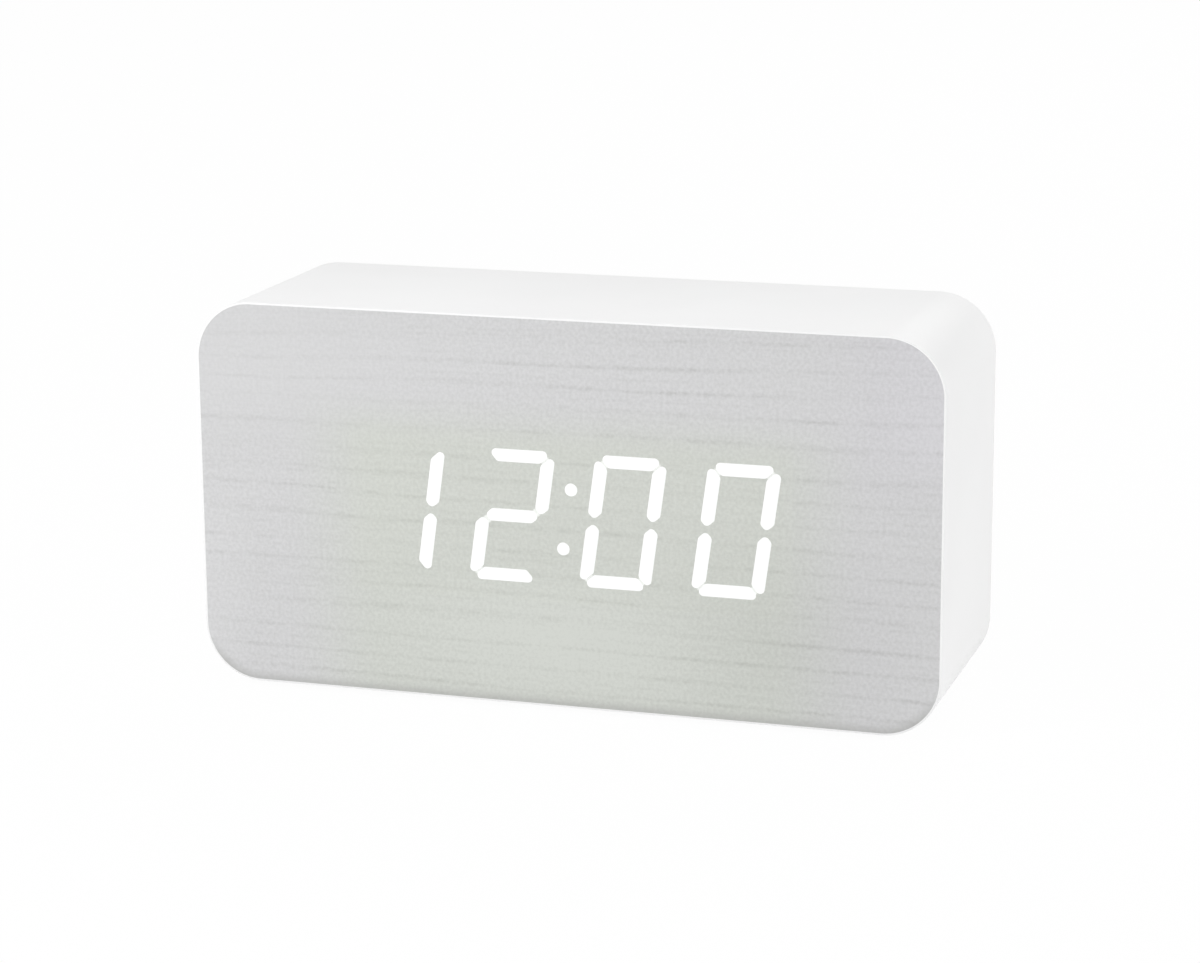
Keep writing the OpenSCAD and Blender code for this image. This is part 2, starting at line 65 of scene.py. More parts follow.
class Wire:
    # one output socket, so that shader sums read like sums
    def __init__(self, tree, socket):
        self.tree = tree
        self.socket = socket

    def node(self, kind, settings, values, out=0):
        made = self.tree.nodes.new(kind)
        for name, setting in settings.items():
            setattr(made, name, setting)
        for name, value in values.items():
            feed(self.tree, made.inputs[name], value)
        return Wire(self.tree, made.outputs[out])

    def math(self, operation, *others):
        return self.node("ShaderNodeMath", {"operation": operation}, dict(enumerate((self, *others))))

    def __abs__(self):
        return self.math("ABSOLUTE")

    def __add__(self, other):
        return self.math("ADD", other)

    def __sub__(self, other):
        return self.math("SUBTRACT", other)

    def __mul__(self, other):
        return self.math("MULTIPLY", other)

    def __truediv__(self, other):
        return self.math("DIVIDE", other)

    __radd__ = __add__
    __rmul__ = __mul__

    def __rsub__(self, other):
        return self.node("ShaderNodeMath", {"operation": "SUBTRACT"}, {0: other, 1: self})

    def band(self, low, high):
        # 0 below low, 1 above high, smooth between
        return self.node("ShaderNodeMapRange", {"interpolation_type": "SMOOTHSTEP"},
                         {"Value": self, "From Min": low, "From Max": high})

    def blend(self, first, second):
        # a colour that goes from first to second as this value goes from 0 to 1
        return self.node("ShaderNodeMix", {"data_type": "RGBA"}, {0: self, 6: first, 7: second}, out=2)

    def tinted(self, colour, tint):
        # a colour that this value, from 0 to 1, multiplies by a tint
        return self.node("ShaderNodeMix", {"data_type": "RGBA", "blend_type": "MULTIPLY"},
                         {0: self, 6: colour, 7: tint}, out=2)

    def stretched(self, x, y, z):
        return self.node("ShaderNodeVectorMath", {"operation": "MULTIPLY"}, {0: self, 1: (x, y, z)})

    def noise(self, scale, detail=2.0, rough=0.5):
        return self.node("ShaderNodeTexNoise", {}, {"Vector": self, "Scale": scale, "Detail": detail,
                                                    "Roughness": rough})

    def cells(self, scale):
        return self.node("ShaderNodeTexVoronoi", {}, {"Vector": self, "Scale": scale})


def srgb(r, g, b):
    # screen values from 0 to 255 as the linear colour that the shader wants
    def linear(v):
        v = v / 255
        return v / 12.92 if v <= 0.04045 else ((v + 0.055) / 1.055) ** 2.4
    return (linear(r), linear(g), linear(b), 1)


def camel(name):
    # the name of a node or slot as a piece or material has it
    first, *others = name.split("_")
    return first + "".join(word.title() for word in others)


class Finish:
    # the material of a slot; put() takes a constant or a pattern for one of the shader's sockets
    plugs = {"color": "Base Color", "rough": "Roughness", "metal": "Metallic", "level": "Specular IOR Level",
             "coat": "Coat Weight", "coatRough": "Coat Roughness", "glow": "Emission Color",
             "power": "Emission Strength", "normal": "Normal"}

    def __init__(self, slot, **constants):
        self.material = finishes[slot] = bpy.data.materials.new(camel(slot))
        self.material.use_nodes = True
        self.tree = self.material.node_tree
        self.shader = self.tree.nodes["Principled BSDF"]
        for key, value in constants.items():
            self.put(key, value)
        coordinates = self.tree.nodes.new("ShaderNodeTexCoord")
        self.place = Wire(self.tree, coordinates.outputs["Object"])
        split = self.tree.nodes.new("ShaderNodeSeparateXYZ")
        feed(self.tree, split.inputs[0], self.place)
        self.x, self.y, self.z = (Wire(self.tree, plug) for plug in split.outputs)

    def put(self, key, value):
        feed(self.tree, self.shader.inputs[self.plugs[key]], value)

    def bump(self, height, depth, strength=1.0):
        values = {"Height": height, "Distance": depth, "Strength": strength}
        self.put("normal", self.place.node("ShaderNodeBump", {}, values))

    def joined(self, x, y, z):
        return self.place.node("ShaderNodeCombineXYZ", {}, {0: x, 1: y, 2: z})


# Finishes

frontFinish = {
    # tones, the third of them the painted shade of the lower edge, and how strongly each layer of the grain
    # shows
    "pale": (211, 211, 212), "streak": (186, 186, 186), "dusk": (170, 170, 168),
    "pitch": 0.0047, "lineWidth": 0.00075, "lineStrength": 0.46, "fineStrength": 0.18,
    "fibreStrength": 0.05, "gritStrength": 0.36, "bandStrength": 0.10, "calmCorner": 0.5,
    # painted shade and painted light over the face: centre and half sizes of a patch, and how much it
    # darkens, lightening where negative
    "lightAndShadePatches": [((0.045, 0.018), (0.034, 0.034), 0.20), ((0.000, 0.015), (0.046, 0.017), -0.28)],
    "paleSides": 0.14,
    # tints near the lit digits and at the upper right, from the first place to the second
    "tint": (0.972, 1.0, 0.932, 1), "tintX": (0.038, 0.060), "tintZ": (0.051, 0.063),
    "coolTint": (0.993, 0.985, 1.008, 1), "coolX": (0.044, 0.070), "coolZ": (0.038, 0.062),
    # the faint window
    "windowTone": (218, 219, 210), "windowStrength": 0.05, "windowEdge": 0.0006,
    "displayX": 0.0014, "displayZ": 0.0388, "halfW": 0.0447, "halfH": 0.0168,
    # the painted shade along the lower edge
    "halfWide": 0.075, "halfHigh": 0.0385, "middle": 0.0395, "corner": 0.0115,
    "edgeShadeDepth": 0.0028, "edgeShadeStrength": 0.85,
    # light in the seams between lit bars, at places measured from a digit's centre
    "lean": 0.1405, "cornerSeam": (0.00523, 0.01132), "middleSeam": (0.00488, 0.00097),
    "seamInner": 0.0006, "seamOuter": 0.0011, "seamStrength": 0.85, "seamTone": (249, 251, 248),
}


def streaks(f, level, pitch, width, seed):
    # long thin lines at uneven heights, each broken into dashes of uneven darkness
    drift = f.joined(f.x * 7, seed, level * 70).noise(1.0, 1.0) * 1.5
    row = (level * (1 / pitch) + drift).math("FRACT") - 0.5
    line = 1 - abs(row).band(0.0, width / pitch)
    dash = f.joined(f.x * 150, seed + 3, level * 330).noise(1.0, 2.0, 0.6).band(0.38, 0.62)
    spread = f.joined(f.x * 20, seed + 7, level * 110).noise(1.0, 1.0).band(0.34, 0.60)
    spots = f.joined(f.x * 900, seed, level * 1500).noise(1.0, 1.0).band(0.35, 0.60)
    return line * (0.25 + 0.75 * dash) * (0.30 + 0.70 * spread) * (0.45 + 0.55 * spots)


def distance(across, upward):
    return (across * across + upward * upward).math("SQRT")


def patch(f, centre, half):
    # 1 at the centre, fading to 0 on an ellipse of these half sizes
    return 1 - distance((f.x - centre[0]) / half[0], (f.z - centre[1]) / half[1]).band(0.0, 1.0)


def spill(f, node, spots):
    # the bars' light in the narrow seams where the lit bars of a digit meet
    s = frontFinish
    low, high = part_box(node)
    upward = f.z - (low.z + high.z) / 2
    out = f.x - (low.x + high.x) / 2 - upward * s["lean"]
    light = 0
    for place in spots:
        gap = distance(abs(out) - place[0], abs(upward) - place[1])
        light = 1 - gap.band(s["seamInner"], s["seamOuter"]) + light
    return light if len(spots) == 1 else light * (out * upward).math("GREATER_THAN", 0)


def grainFilm():
    s = frontFinish
    f = Finish("grain_film", rough=0.55, level=0.35)
    x, z = f.x, f.z
    sway = f.joined(x * 10, 0, z * 26).noise(1.0, 2.0) - 0.5
    rise = (z - 0.045).math("MAXIMUM", 0) * x * 0.7  # the lines climb a little to the right near the top
    level = z + sway * 0.0036 - rise
    lines = streaks(f, level, s["pitch"], s["lineWidth"], 0.0)
    fine = streaks(f, level, s["pitch"] * 0.46, s["lineWidth"] * 0.7, 5.3)
    fibre = f.joined(x * 110, 0, level * 2400).noise(1.0, 2.0, 0.6).band(0.36, 0.74)
    grit = f.place.noise(1500, 2.0).band(0.28, 0.72)
    bands = f.joined(x * 5, 2.0, level * 55).noise(1.0, 2.0).band(0.3, 0.7)
    # the grain is calmer towards the upper left, and painted shade and painted light lie in slow patches over
    # the face
    calm = (1 - x.band(-0.060, -0.005)) * z.band(0.040, 0.065) * s["calmCorner"]
    lively = 1.1 - calm
    dark = (lines * s["lineStrength"] + fine * s["fineStrength"]) * (1 - calm) + fibre * s["fibreStrength"]
    dark = dark + ((grit - 0.5) * lively + 0.5) * s["gritStrength"] + bands * s["bandStrength"]
    # painted shade and painted light, in soft patches
    for centre, half, strength in s["lightAndShadePatches"]:
        dark = dark + patch(f, centre, half) * strength
    lowerLeft = (0 - x).band(0.062, 0.074) * (1 - z.band(0.026, 0.046))
    upperRight = x.band(0.060, 0.074) * z.band(0.040, 0.060)
    dark = dark - (lowerLeft + upperRight) * s["paleSides"]
    dark = dark.math("MINIMUM", 1).math("MAXIMUM", 0)
    wood = dark.blend(s["pale"], s["streak"])
    across = abs(x - s["displayX"])
    upward = abs(z - s["displayZ"])
    window = 1 - across.band(s["halfW"] - s["windowEdge"], s["halfW"] + s["windowEdge"])
    window = window * (1 - upward.band(s["halfH"] - s["windowEdge"], s["halfH"] + s["windowEdge"]))
    wood = (window * s["windowStrength"]).blend(wood, s["windowTone"])
    lit = (1 - across.band(*s["tintX"])) * (1 - z.band(*s["tintZ"]))
    wood = lit.tinted(wood, s["tint"])
    wood = (x.band(*s["coolX"]) * z.band(*s["coolZ"])).tinted(wood, s["coolTint"])
    # a two has seams at two of its corners and beside its middle bar, a zero at all four corners
    light = spill(f, "hour_units_bars", [s["cornerSeam"], s["middleSeam"]])
    for node in ("minute_tens_bars", "minute_units_bars"):
        light = light + spill(f, node, [s["cornerSeam"]])
    wood = (light * s["seamStrength"]).blend(wood, s["seamTone"])
    # painted shade: the lower edge is a little darker, all along its outline
    wide = (abs(x) - (s["halfWide"] - s["corner"])).math("MAXIMUM", 0)
    low = (s["middle"] - s["halfHigh"] + s["corner"]) - z
    inside = s["corner"] - distance(wide, low.math("MAXIMUM", 0))
    edge = (1 - inside.band(-0.0006, s["edgeShadeDepth"])) * low.band(0.002, 0.009)
    # the third tone is painted shade, laid along the lower edge
    f.put("color", (edge * s["edgeShadeStrength"]).blend(wood, s["dusk"]))
    f.put("rough", 0.50 + 0.12 * fibre)
    f.bump(grit * 0.5 + fibre * 0.4 - lines * 0.8, 0.00004, 0.5)


def whiteFilm():
    f = Finish("white_film", rough=0.5, level=0.4)
    cloud = f.place.noise(22, 2.0)
    fine = f.place.noise(1500, 2.0)
    f.put("color", cloud.band(0.3, 0.7).blend((241, 241, 241), (244, 244, 244)))
    f.put("rough", 0.46 + 0.1 * fine)
    f.bump(fine * 0.4 + f.place.noise(180, 1.0) * 0.6, 0.00003, 0.35)


def litResin():
    # glow and reflection together come to white at the lamps' level
    f = Finish("lit_resin", color=(0.29, 0.29, 0.29, 1), rough=0.5, level=0.2, power=0.73)
    cloud = f.place.noise(900, 1.0)
    f.put("glow", cloud.band(0.2, 0.8).blend((0.975, 1.0, 0.98, 1), (1, 1, 1, 1)))


def plainPlastic(slot, first, second, rough, grain=2400, depth=0.00003, strength=0.3):
    # moulded plastic: a fine spark-eroded texture and a slow change of tone
    f = Finish(slot, level=0.45)
    slow = f.place.noise(60, 2.0).band(0.3, 0.7)
    texture = f.place.noise(grain, 2.0, 0.6)
    f.put("color", slow.blend(first, second))
    f.put("rough", rough - 0.04 + 0.08 * texture)
    f.bump(texture, depth, strength)


def metal(slot, first, second, rough, along=(1, 1, 1)):
    # plated or drawn metal: fine drawing marks along one direction
    f = Finish(slot, metal=1.0)
    marks = f.place.stretched(*along).noise(900, 3.0, 0.6)
    stain = f.place.noise(250, 2.0).band(0.35, 0.75)
    f.put("color", stain.blend(first, second))
    f.put("rough", rough - 0.06 + 0.16 * marks + 0.08 * stain)
    f.bump(marks, 0.00002, 0.15)


def fibreboard():
    f = Finish("fibreboard", rough=0.85, level=0.2)
    chips = f.place.stretched(1, 1, 1.6).noise(1300, 3.0, 0.7)
    dust = f.place.noise(300, 2.0)
    tone = (chips * 0.7 + dust * 0.3).band(0.3, 0.7)
    f.put("color", tone.blend((150, 118, 84), (188, 156, 118)))
    f.bump(chips, 0.00008, 0.5)


def pine():
    f = Finish("pine", rough=0.7, level=0.3)
    sway = f.place.noise(60, 2.0) - 0.5
    ring = ((f.z + sway * 0.002) * 2600).math("SINE") * 0.5 + 0.5
    fibre = f.place.stretched(2200, 90, 2200).noise(1.0, 2.0)
    f.put("color", (ring * 0.6 + fibre * 0.4).blend((214, 184, 134), (182, 142, 92)))
    f.bump(fibre, 0.00005, 0.4)


def rubber():
    f = Finish("foot_rubber", rough=0.85, level=0.2)
    grit = f.place.noise(2600, 2.0)
    f.put("color", grit.band(0.35, 0.7).blend((44, 44, 45), (60, 60, 60)))
    f.bump(grit, 0.00004, 0.5)


def circuitBoard():
    # raised tracks that run in rows in some places and in columns in others
    f = Finish("circuit_board", level=0.5, coat=0.3, coatRough=0.2)
    rows = (f.z * 2100).math("SINE").band(0.55, 0.7)
    columns = (f.x * 1500).math("SINE").band(0.6, 0.75)
    pick = f.joined(f.x * 110, 0, f.z * 110).cells(1.0).band(0.35, 0.4)
    tracks = rows * pick + columns * (1 - pick)
    grit = f.place.noise(3000, 1.0)
    f.put("color", (tracks * 0.8).blend((18, 82, 46), (36, 118, 66)))
    f.put("rough", 0.38 - 0.08 * tracks + 0.06 * grit)
    f.bump(tracks, 0.00003, 0.5)


def chipEpoxy():
    f = Finish("chip_epoxy", level=0.35)
    grit = f.place.noise(5200, 2.0, 0.7)
    f.put("color", grit.blend((26, 26, 28), (46, 46, 48)))
    f.put("rough", 0.62 + 0.16 * grit)
    f.bump(grit, 0.00003, 0.5)


def stepAt(value, place, soft=0.00005):
    # 0 before a place and 1 after it, with a narrow change between
    return value.band(place - soft, place + soft)


def ribbonVinyl():
    # grey conductors, the first one red
    firstSeam = -0.024525  # X between the first conductor and the next
    f = Finish("ribbon_vinyl", level=0.5)
    scuff = f.place.noise(800, 2.0).band(0.35, 0.7)
    grey = scuff.blend((176, 178, 182), (160, 162, 167))
    f.put("color", stepAt(f.x, firstSeam, 0.000025).blend((168, 34, 28), grey))
    f.put("rough", 0.36 + 0.14 * scuff)
    f.bump(f.place.noise(2600, 1.0), 0.00002, 0.3)


def cellSleeve():
    # a copper band at the button end of each cell; the middle cell lies the other way round
    f = Finish("cell_sleeve", coat=0.6, coatRough=0.12)
    low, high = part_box("battery_cells")
    band, halfCell = 0.0115, 0.0052
    middle = 1 - stepAt(abs(f.z - (low.z + high.z) / 2), halfCell, 0.0001)
    left = 1 - stepAt(f.x, low.x + band)
    right = stepAt(f.x, high.x - band)
    scuff = f.place.noise(420, 3.0).band(0.45, 0.75)
    body = (left * (1 - middle) + right * middle).blend((54, 60, 70), (196, 140, 66))
    f.put("color", (scuff * 0.12).blend(body, (120, 122, 126)))
    f.put("rough", 0.26 + 0.2 * scuff)
    f.bump(scuff, 0.00002, 0.3)


def sheath(slot, first, second, split, other):
    # a glossy vinyl sleeve, in another colour where it lies right of one X
    f = Finish(slot, level=0.5)
    scuff = f.place.noise(700, 2.0).band(0.4, 0.7)
    tone = scuff.blend(first, second)
    f.put("color", stepAt(f.x, split, 0.00003).blend(tone, other))
    f.put("rough", 0.3 + 0.15 * scuff)
    f.bump(f.place.noise(2400, 1.0), 0.00002, 0.3)


for make in (fibreboard, whiteFilm, grainFilm, pine, rubber, litResin, circuitBoard, chipEpoxy, ribbonVinyl,
             cellSleeve):
    make()
plainPlastic("reflector_plastic", (222, 222, 218), (212, 212, 207), 0.55)
plainPlastic("unlit_resin", (206, 211, 203), (214, 218, 210), 0.3)
plainPlastic("led_resin", (236, 219, 124), (240, 228, 150), 0.15)
plainPlastic("spacer_plastic", (232, 227, 210), (224, 218, 200), 0.45)
plainPlastic("holder_plastic", (28, 28, 30), (38, 38, 40), 0.5)
plainPlastic("cover_plastic", (231, 231, 230), (228, 228, 227), 0.5, grain=1500, depth=0.00005, strength=0.45)
plainPlastic("plunger_plastic", (226, 221, 206), (220, 214, 196), 0.4)
plainPlastic("button_plastic", (206, 206, 207), (198, 198, 199), 0.36)
metal("zinc_steel", (190, 192, 196), (168, 170, 174), 0.28)
metal("can_steel", (204, 205, 207), (190, 191, 194), 0.22, along=(1, 0.1, 1))
metal("cell_steel", (212, 212, 213), (198, 198, 200), 0.2)
metal("contact_steel", (216, 215, 211), (198, 197, 193), 0.16)
sheath("capacitor_sleeve", (22, 30, 66), (32, 42, 84), split=0.0289, other=(206, 208, 212))
sheath("lead_vinyl", (176, 24, 20), (150, 18, 16), split=0.0300, other=(30, 30, 32))
print("finishes:", len(finishes))

slots = {part["node"]: part["material_slot"] for part in frame["record"]["subparts"]}
for node, slot in slots.items():
    worn = nodes[node].data.materials
    worn.clear()
    worn.append(finishes[slot])
print("dressed CAD nodes:", len(slots))


# Modelling helpers


def placed(name, data):
    # a new object in the scene
    made = bpy.data.objects.new(name, data)
    bpy.context.scene.collection.objects.link(made)
    return made


def meshOf(bm, name="form"):
    # a mesh of what a bmesh holds, and the end of that bmesh
    mesh = bpy.data.meshes.new(name)
    bm.to_mesh(mesh)
    bm.free()
    return mesh


def settle(name, bm, slot, *stands, body="case", smooth=35):
    # turns a bmesh into a piece that rides on a body and may stand for CAD nodes
    bmesh.ops.remove_doubles(bm, verts=bm.verts, dist=touch)
    bmesh.ops.recalc_face_normals(bm, faces=bm.faces)
    mesh = meshOf(bm, name)
    mesh.shade_smooth()
    mesh.set_sharp_from_angle(angle=radians(smooth))
    mesh.materials.append(finishes[slot])
    piece = placed(name, mesh)
    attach(piece, body)
    if stands:
        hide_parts(*stands)


def nodeCentre(name):
    low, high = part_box(name)
    return (low.x + high.x) / 2, (low.z + high.z) / 2


def roundNode(name):
    # the foot of a round node's axis, its height and its radius
    low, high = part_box(name)
    x, z = nodeCentre(name)
    return Vector((x, low.y, z)), high.y - low.y, (high.x - low.x) / 2


def move(bm, geom, vec):
    verts = [g for g in geom if isinstance(g, bmesh.types.BMVert)]
    bmesh.ops.translate(bm, vec=vec, verts=verts)


def everything(bm):
    return list(bm.verts) + list(bm.edges) + list(bm.faces)


def onLevel(items, y):
    # the faces or edges that lie on one Y level
    return [item for item in items if all(abs(v.co.y - y) < touch for v in item.verts)]


def alongY(edge):
    a, b = (vert.co for vert in edge.verts)
    return abs(a.x - b.x) + abs(a.z - b.z) < touch


def roundEdges(bm, edges, radius, segments, **limits):
    bmesh.ops.bevel(bm, geom=edges, offset=radius, offset_type="OFFSET", affect="EDGES",
                    segments=segments, profile=0.5, material=-1, **limits)


def block(bm, low, high):
    # a box between two corners; returns its faces
    made = bmesh.ops.create_cube(bm, size=1)["verts"]
    bmesh.ops.scale(bm, vec=Vector(high) - Vector(low), verts=made)
    move(bm, made, (Vector(high) + Vector(low)) / 2)
    return list({face for vert in made for face in vert.link_faces})


def roundedBox(low, high, radius, segments):
    # a box whose edges along Y are rounded
    bm = bmesh.new()
    block(bm, low, high)
    roundEdges(bm, [edge for edge in bm.edges if alongY(edge)], radius, segments)
    return bm


def carved(bm, cutter):
    # what is left of one closed form when another is taken away
    forms = []
    for form in (bm, cutter):
        bmesh.ops.recalc_face_normals(form, faces=form.faces)
        forms.append(placed("form", meshOf(form)))
    cut = forms[0].modifiers.new("cut", "BOOLEAN")
    cut.operation = "DIFFERENCE"
    cut.solver = "EXACT"
    cut.object = forms[1]
    left = bmesh.new()
    left.from_object(forms[0], bpy.context.evaluated_depsgraph_get())
    for form in forms:
        bpy.data.objects.remove(form)
    return left


def crossCut(bm, centre, length, width, near, far):
    # cuts a cross into a face that looks along Y, between two Y levels
    x, z = centre
    for wide, tall in ((length, width), (width, length)):
        cutter = bmesh.new()
        block(cutter, (x - wide / 2, near, z - tall / 2), (x + wide / 2, far, z + tall / 2))
        bm = carved(bm, cutter)
    return bm


def turned(profile, centre, axis=(0, 1, 0), steps=48, bm=None):
    # a profile of (distance along the axis, radius) spun round the axis; ends at radius 0 are closed
    bm = bm or bmesh.new()
    along = Vector(axis).normalized()
    side = along.orthogonal().normalized()
    line = [bm.verts.new(Vector(centre) + along * t + side * r) for t, r in profile]
    edges = [bm.edges.new(pair) for pair in zip(line, line[1:])]
    bmesh.ops.spin(bm, geom=line + edges, cent=centre, axis=along, angle=2 * pi, steps=steps,
                   use_merge=True, use_duplicate=False)
    bmesh.ops.remove_doubles(bm, verts=bm.verts, dist=touch)
    return bm


def bored(bm, y, radius, depth):
    # a round hole on the Y axis, as deep to both sides of one Y level
    return carved(bm, turned(rodProfile(y - depth, y + depth, radius), (0, 0, 0), steps=32))


def arcProfile(t0, r0, t1, r1):
    # a quarter round from (t0, r0) to (t1, r1)
    angles = [i / 6 * pi / 2 for i in range(7)]
    return [(t0 + (t1 - t0) * sin(a), r1 + (r0 - r1) * cos(a)) for a in angles]


def rodProfile(start, end, radius):
    return [(start, 0), (start, radius), (end, radius), (end, 0)]


def softened(node, radius, segments=2, body="case", name=None):
    # a copy of a CAD node, in its own slot, with its hard edges eased
    bm = bmesh.new()
    bm.from_mesh(nodes[node].data)
    bmesh.ops.remove_doubles(bm, verts=bm.verts, dist=2e-6)
    bmesh.ops.dissolve_limit(bm, angle_limit=radians(0.5), verts=bm.verts, edges=bm.edges)
    hard = [e for e in bm.edges if len(e.link_faces) == 2 and e.calc_face_angle() > radians(35)]
    roundEdges(bm, hard, radius, segments, loop_slide=False, clamp_overlap=True)
    settle(name or camel(node), bm, slots[node], node, body=body, smooth=50)


def copies(bm, places):
    # the form in bm, once at each of the given places
    form = everything(bm)
    for place in places[1:]:
        made = bmesh.ops.duplicate(bm, geom=form)["geom"]
        move(bm, made, place)
    move(bm, form, places[0])
    return bm


def bentStrip(points, width, thickness):
    # a thin strip of metal through points in Y and Z, centred on X
    bm = bmesh.new()
    line = [bm.verts.new((-width / 2, y, z)) for y, z in points]
    edges = [bm.edges.new(pair) for pair in zip(line, line[1:])]
    made = bmesh.ops.extrude_edge_only(bm, edges=edges)["geom"]
    move(bm, made, (width, 0, 0))
    faces = [g for g in made if isinstance(g, bmesh.types.BMFace)]
    bmesh.ops.solidify(bm, geom=faces, thickness=thickness)
    return bm


def raisedMark(name, body, slot, place, size, height, corners, turn=0):
    # a raised dot or triangle on a face that looks to the rear
    sunk = 0.0001
    bm = bmesh.new()
    made = bmesh.ops.create_circle(bm, cap_ends=True, radius=size, segments=corners)["verts"]
    for angle, axis in ((turn, "Z"), (pi / 2, "X")):
        bmesh.ops.rotate(bm, cent=(0, 0, 0), matrix=Matrix.Rotation(angle, 3, axis), verts=made)
    top = bmesh.ops.extrude_face_region(bm, geom=list(bm.faces))["geom"]
    move(bm, top, (0, height + sunk, 0))
    move(bm, bm.verts, Vector(place) - Vector((0, sunk, 0)))
    bmesh.ops.recalc_face_normals(bm, faces=bm.faces)
    if corners == 3:
        roundEdges(bm, [e for e in bm.edges if alongY(e)], size * 0.22, 4)
    roundEdges(bm, onLevel(bm.edges, place[1] + height), height * 0.35, 2)
    settle(name, bm, slot, body=body)


# Case

caseSet = {"radius": 0.0115, "wrap": 0.0004, "wall": 0.006, "frontEdge": 0.00012, "rearEdge": 0.0005}


def caseWrap():
    s = caseSet
    low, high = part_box("wrap_film")
    bm = roundedBox(low, high, s["radius"], 28)
    roundEdges(bm, onLevel(bm.edges, low.y), s["frontEdge"], 2)
    roundEdges(bm, onLevel(bm.edges, high.y), s["rearEdge"], 4)
    front, rear = onLevel(bm.faces, low.y), onLevel(bm.faces, high.y)
    turnedIn = s["wrap"] + s["wall"] - s["rearEdge"]
    bmesh.ops.inset_region(bm, faces=front, thickness=s["wrap"] - s["frontEdge"], use_even_offset=True)
    bmesh.ops.inset_region(bm, faces=rear, thickness=turnedIn, use_even_offset=True)
    inner = bmesh.ops.extrude_discrete_faces(bm, faces=front)["faces"]
    deep = high.y - low.y - s["wrap"]
    move(bm, {v for f in inner for v in f.verts}, (0, deep, 0))
    bmesh.ops.inset_region(bm, faces=inner, thickness=s["wall"], use_even_offset=True)
    loops = [e for f in inner + rear for e in f.edges]
    bmesh.ops.delete(bm, geom=inner + rear, context="FACES_ONLY")
    bmesh.ops.bridge_loops(bm, edges=loops)
    settle("caseWrap", bm, "white_film", "wrap_film")


caseWrap()
print("case wrap made")

# Feet

footSet = {"radius": 0.005, "height": 0.001, "lip": 0.00035, "hollow": 0.0003, "rim": 0.0012}


def footPads():
    s = footSet
    low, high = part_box("rubber_feet")
    r, h = s["radius"], s["height"]
    profile = [(0, 0), (0, r)] + arcProfile(h - s["lip"], r, h, r - s["lip"])
    profile += [(h, r - s["rim"]), (h - s["hollow"], r - s["rim"] - s["hollow"]), (h - s["hollow"], 0)]
    bm = turned(profile, (0, 0, h), axis=(0, 0, -1))
    copies(bm, [(x, y, 0) for x in (low.x + r, high.x - r) for y in (low.y + r, high.y - r)])
    settle("footPads", bm, "foot_rubber", "rubber_feet")


footPads()
print("feet made")

# Rear cover, with raised rims round its openings

coverSet = {
    "edge": 0.00022, "rimInner": 0.0039, "rimOuter": 0.0047, "rimHeight": 0.0003, "rimSunk": 0.0002,
    "socketGap": 0.0007, "socketWall": 0.0008, "socketCorner": 0.0015, "socketEdge": 0.00012,
}


def buttonRims():
    s = coverSet
    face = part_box("rear_cover")[1].y
    a, b, h, sunk = s["rimInner"], s["rimOuter"], s["rimHeight"], s["rimSunk"]
    ease = h / 2
    profile = [(-sunk, a), (h - ease, a), (h, a + ease), (h, b - ease)]
    profile += [(h - ease + ease * cos(i * pi / 6), b - ease + ease * sin(i * pi / 6)) for i in (1, 2, 3)]
    bm = turned(profile + [(-sunk, b), (-sunk, a)], (0, 0, 0), steps=64)
    centres = [nodeCentre(name) for name in ("set_button", "up_button", "down_button")]
    settle("buttonRims", copies(bm, [(x, face, z) for x, z in centres]), "cover_plastic")


def socketRim():
    s = coverSet
    low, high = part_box("power_socket")
    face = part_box("rear_cover")[1].y
    top, gap, wall = face + s["rimHeight"], s["socketGap"], s["socketGap"] + s["socketWall"]
    rim = roundedBox((low.x - wall, face - s["rimSunk"], low.z - wall), (high.x + wall, top, high.z + wall),
                     s["socketCorner"] + s["socketWall"], 12)
    hole = roundedBox((low.x - gap, face - 0.001, low.z - gap), (high.x + gap, face + 0.001, high.z + gap),
                      s["socketCorner"], 12)
    rim = carved(rim, hole)
    sharp = [e for e in onLevel(rim.edges, top) if e.calc_face_angle(0) > 1]
    roundEdges(rim, sharp, s["socketEdge"], 2)
    settle("socketRim", rim, "cover_plastic")


softened("rear_cover", coverSet["edge"])
buttonRims()
socketRim()
print("rear cover made")

# Push buttons with a dished top, their marks and plungers

buttonSet = {
    "radius": 0.0035, "flange": 0.0045, "flangeHeight": 0.0012, "crown": 0.0003, "ease": 0.0001,
    "dish": 0.0004, "dishRadius": 0.0029, "dishSlope": 0.0008, "markHeight": 0.0002, "dotSize": 0.00088,
    "arrowSize": 0.001265, "plungerEase": 0.00018,
}


def pushButton(node, body):
    s = buttonSet
    foot, h = roundNode(node)[:2]
    r, c, e, top, flange = s["radius"], s["crown"], s["ease"], s["flangeHeight"], s["flange"]
    profile = [(0, 0), (0, flange - e), (e, flange), (top - e, flange), (top, flange - e), (top, r + 2 * e),
               (top + 2 * e, r)]
    profile += arcProfile(h - c, r, h, r - c)
    profile += [(h - s["dish"] * (1 - cos(a)) / 2, s["dishRadius"] - s["dishSlope"] * a / pi)
                for a in (0, pi / 4, pi / 2, 3 * pi / 4, pi)]
    settle(camel(node), turned(profile + [(h - s["dish"], 0)], foot), "button_plastic", node, body=body)


def plunger(node, body):
    foot, h, r = roundNode(node)
    e = buttonSet["plungerEase"]
    angles = [i * pi / 6 for i in range(4)]
    profile = [(0, 0)] + [(e - e * cos(a), r - e + e * sin(a)) for a in angles]
    profile += [(h - e + e * sin(a), r - e + e * cos(a)) for a in angles] + [(h, 0)]
    settle(camel(node), turned(profile, foot, steps=32), "plunger_plastic", node, body=body)


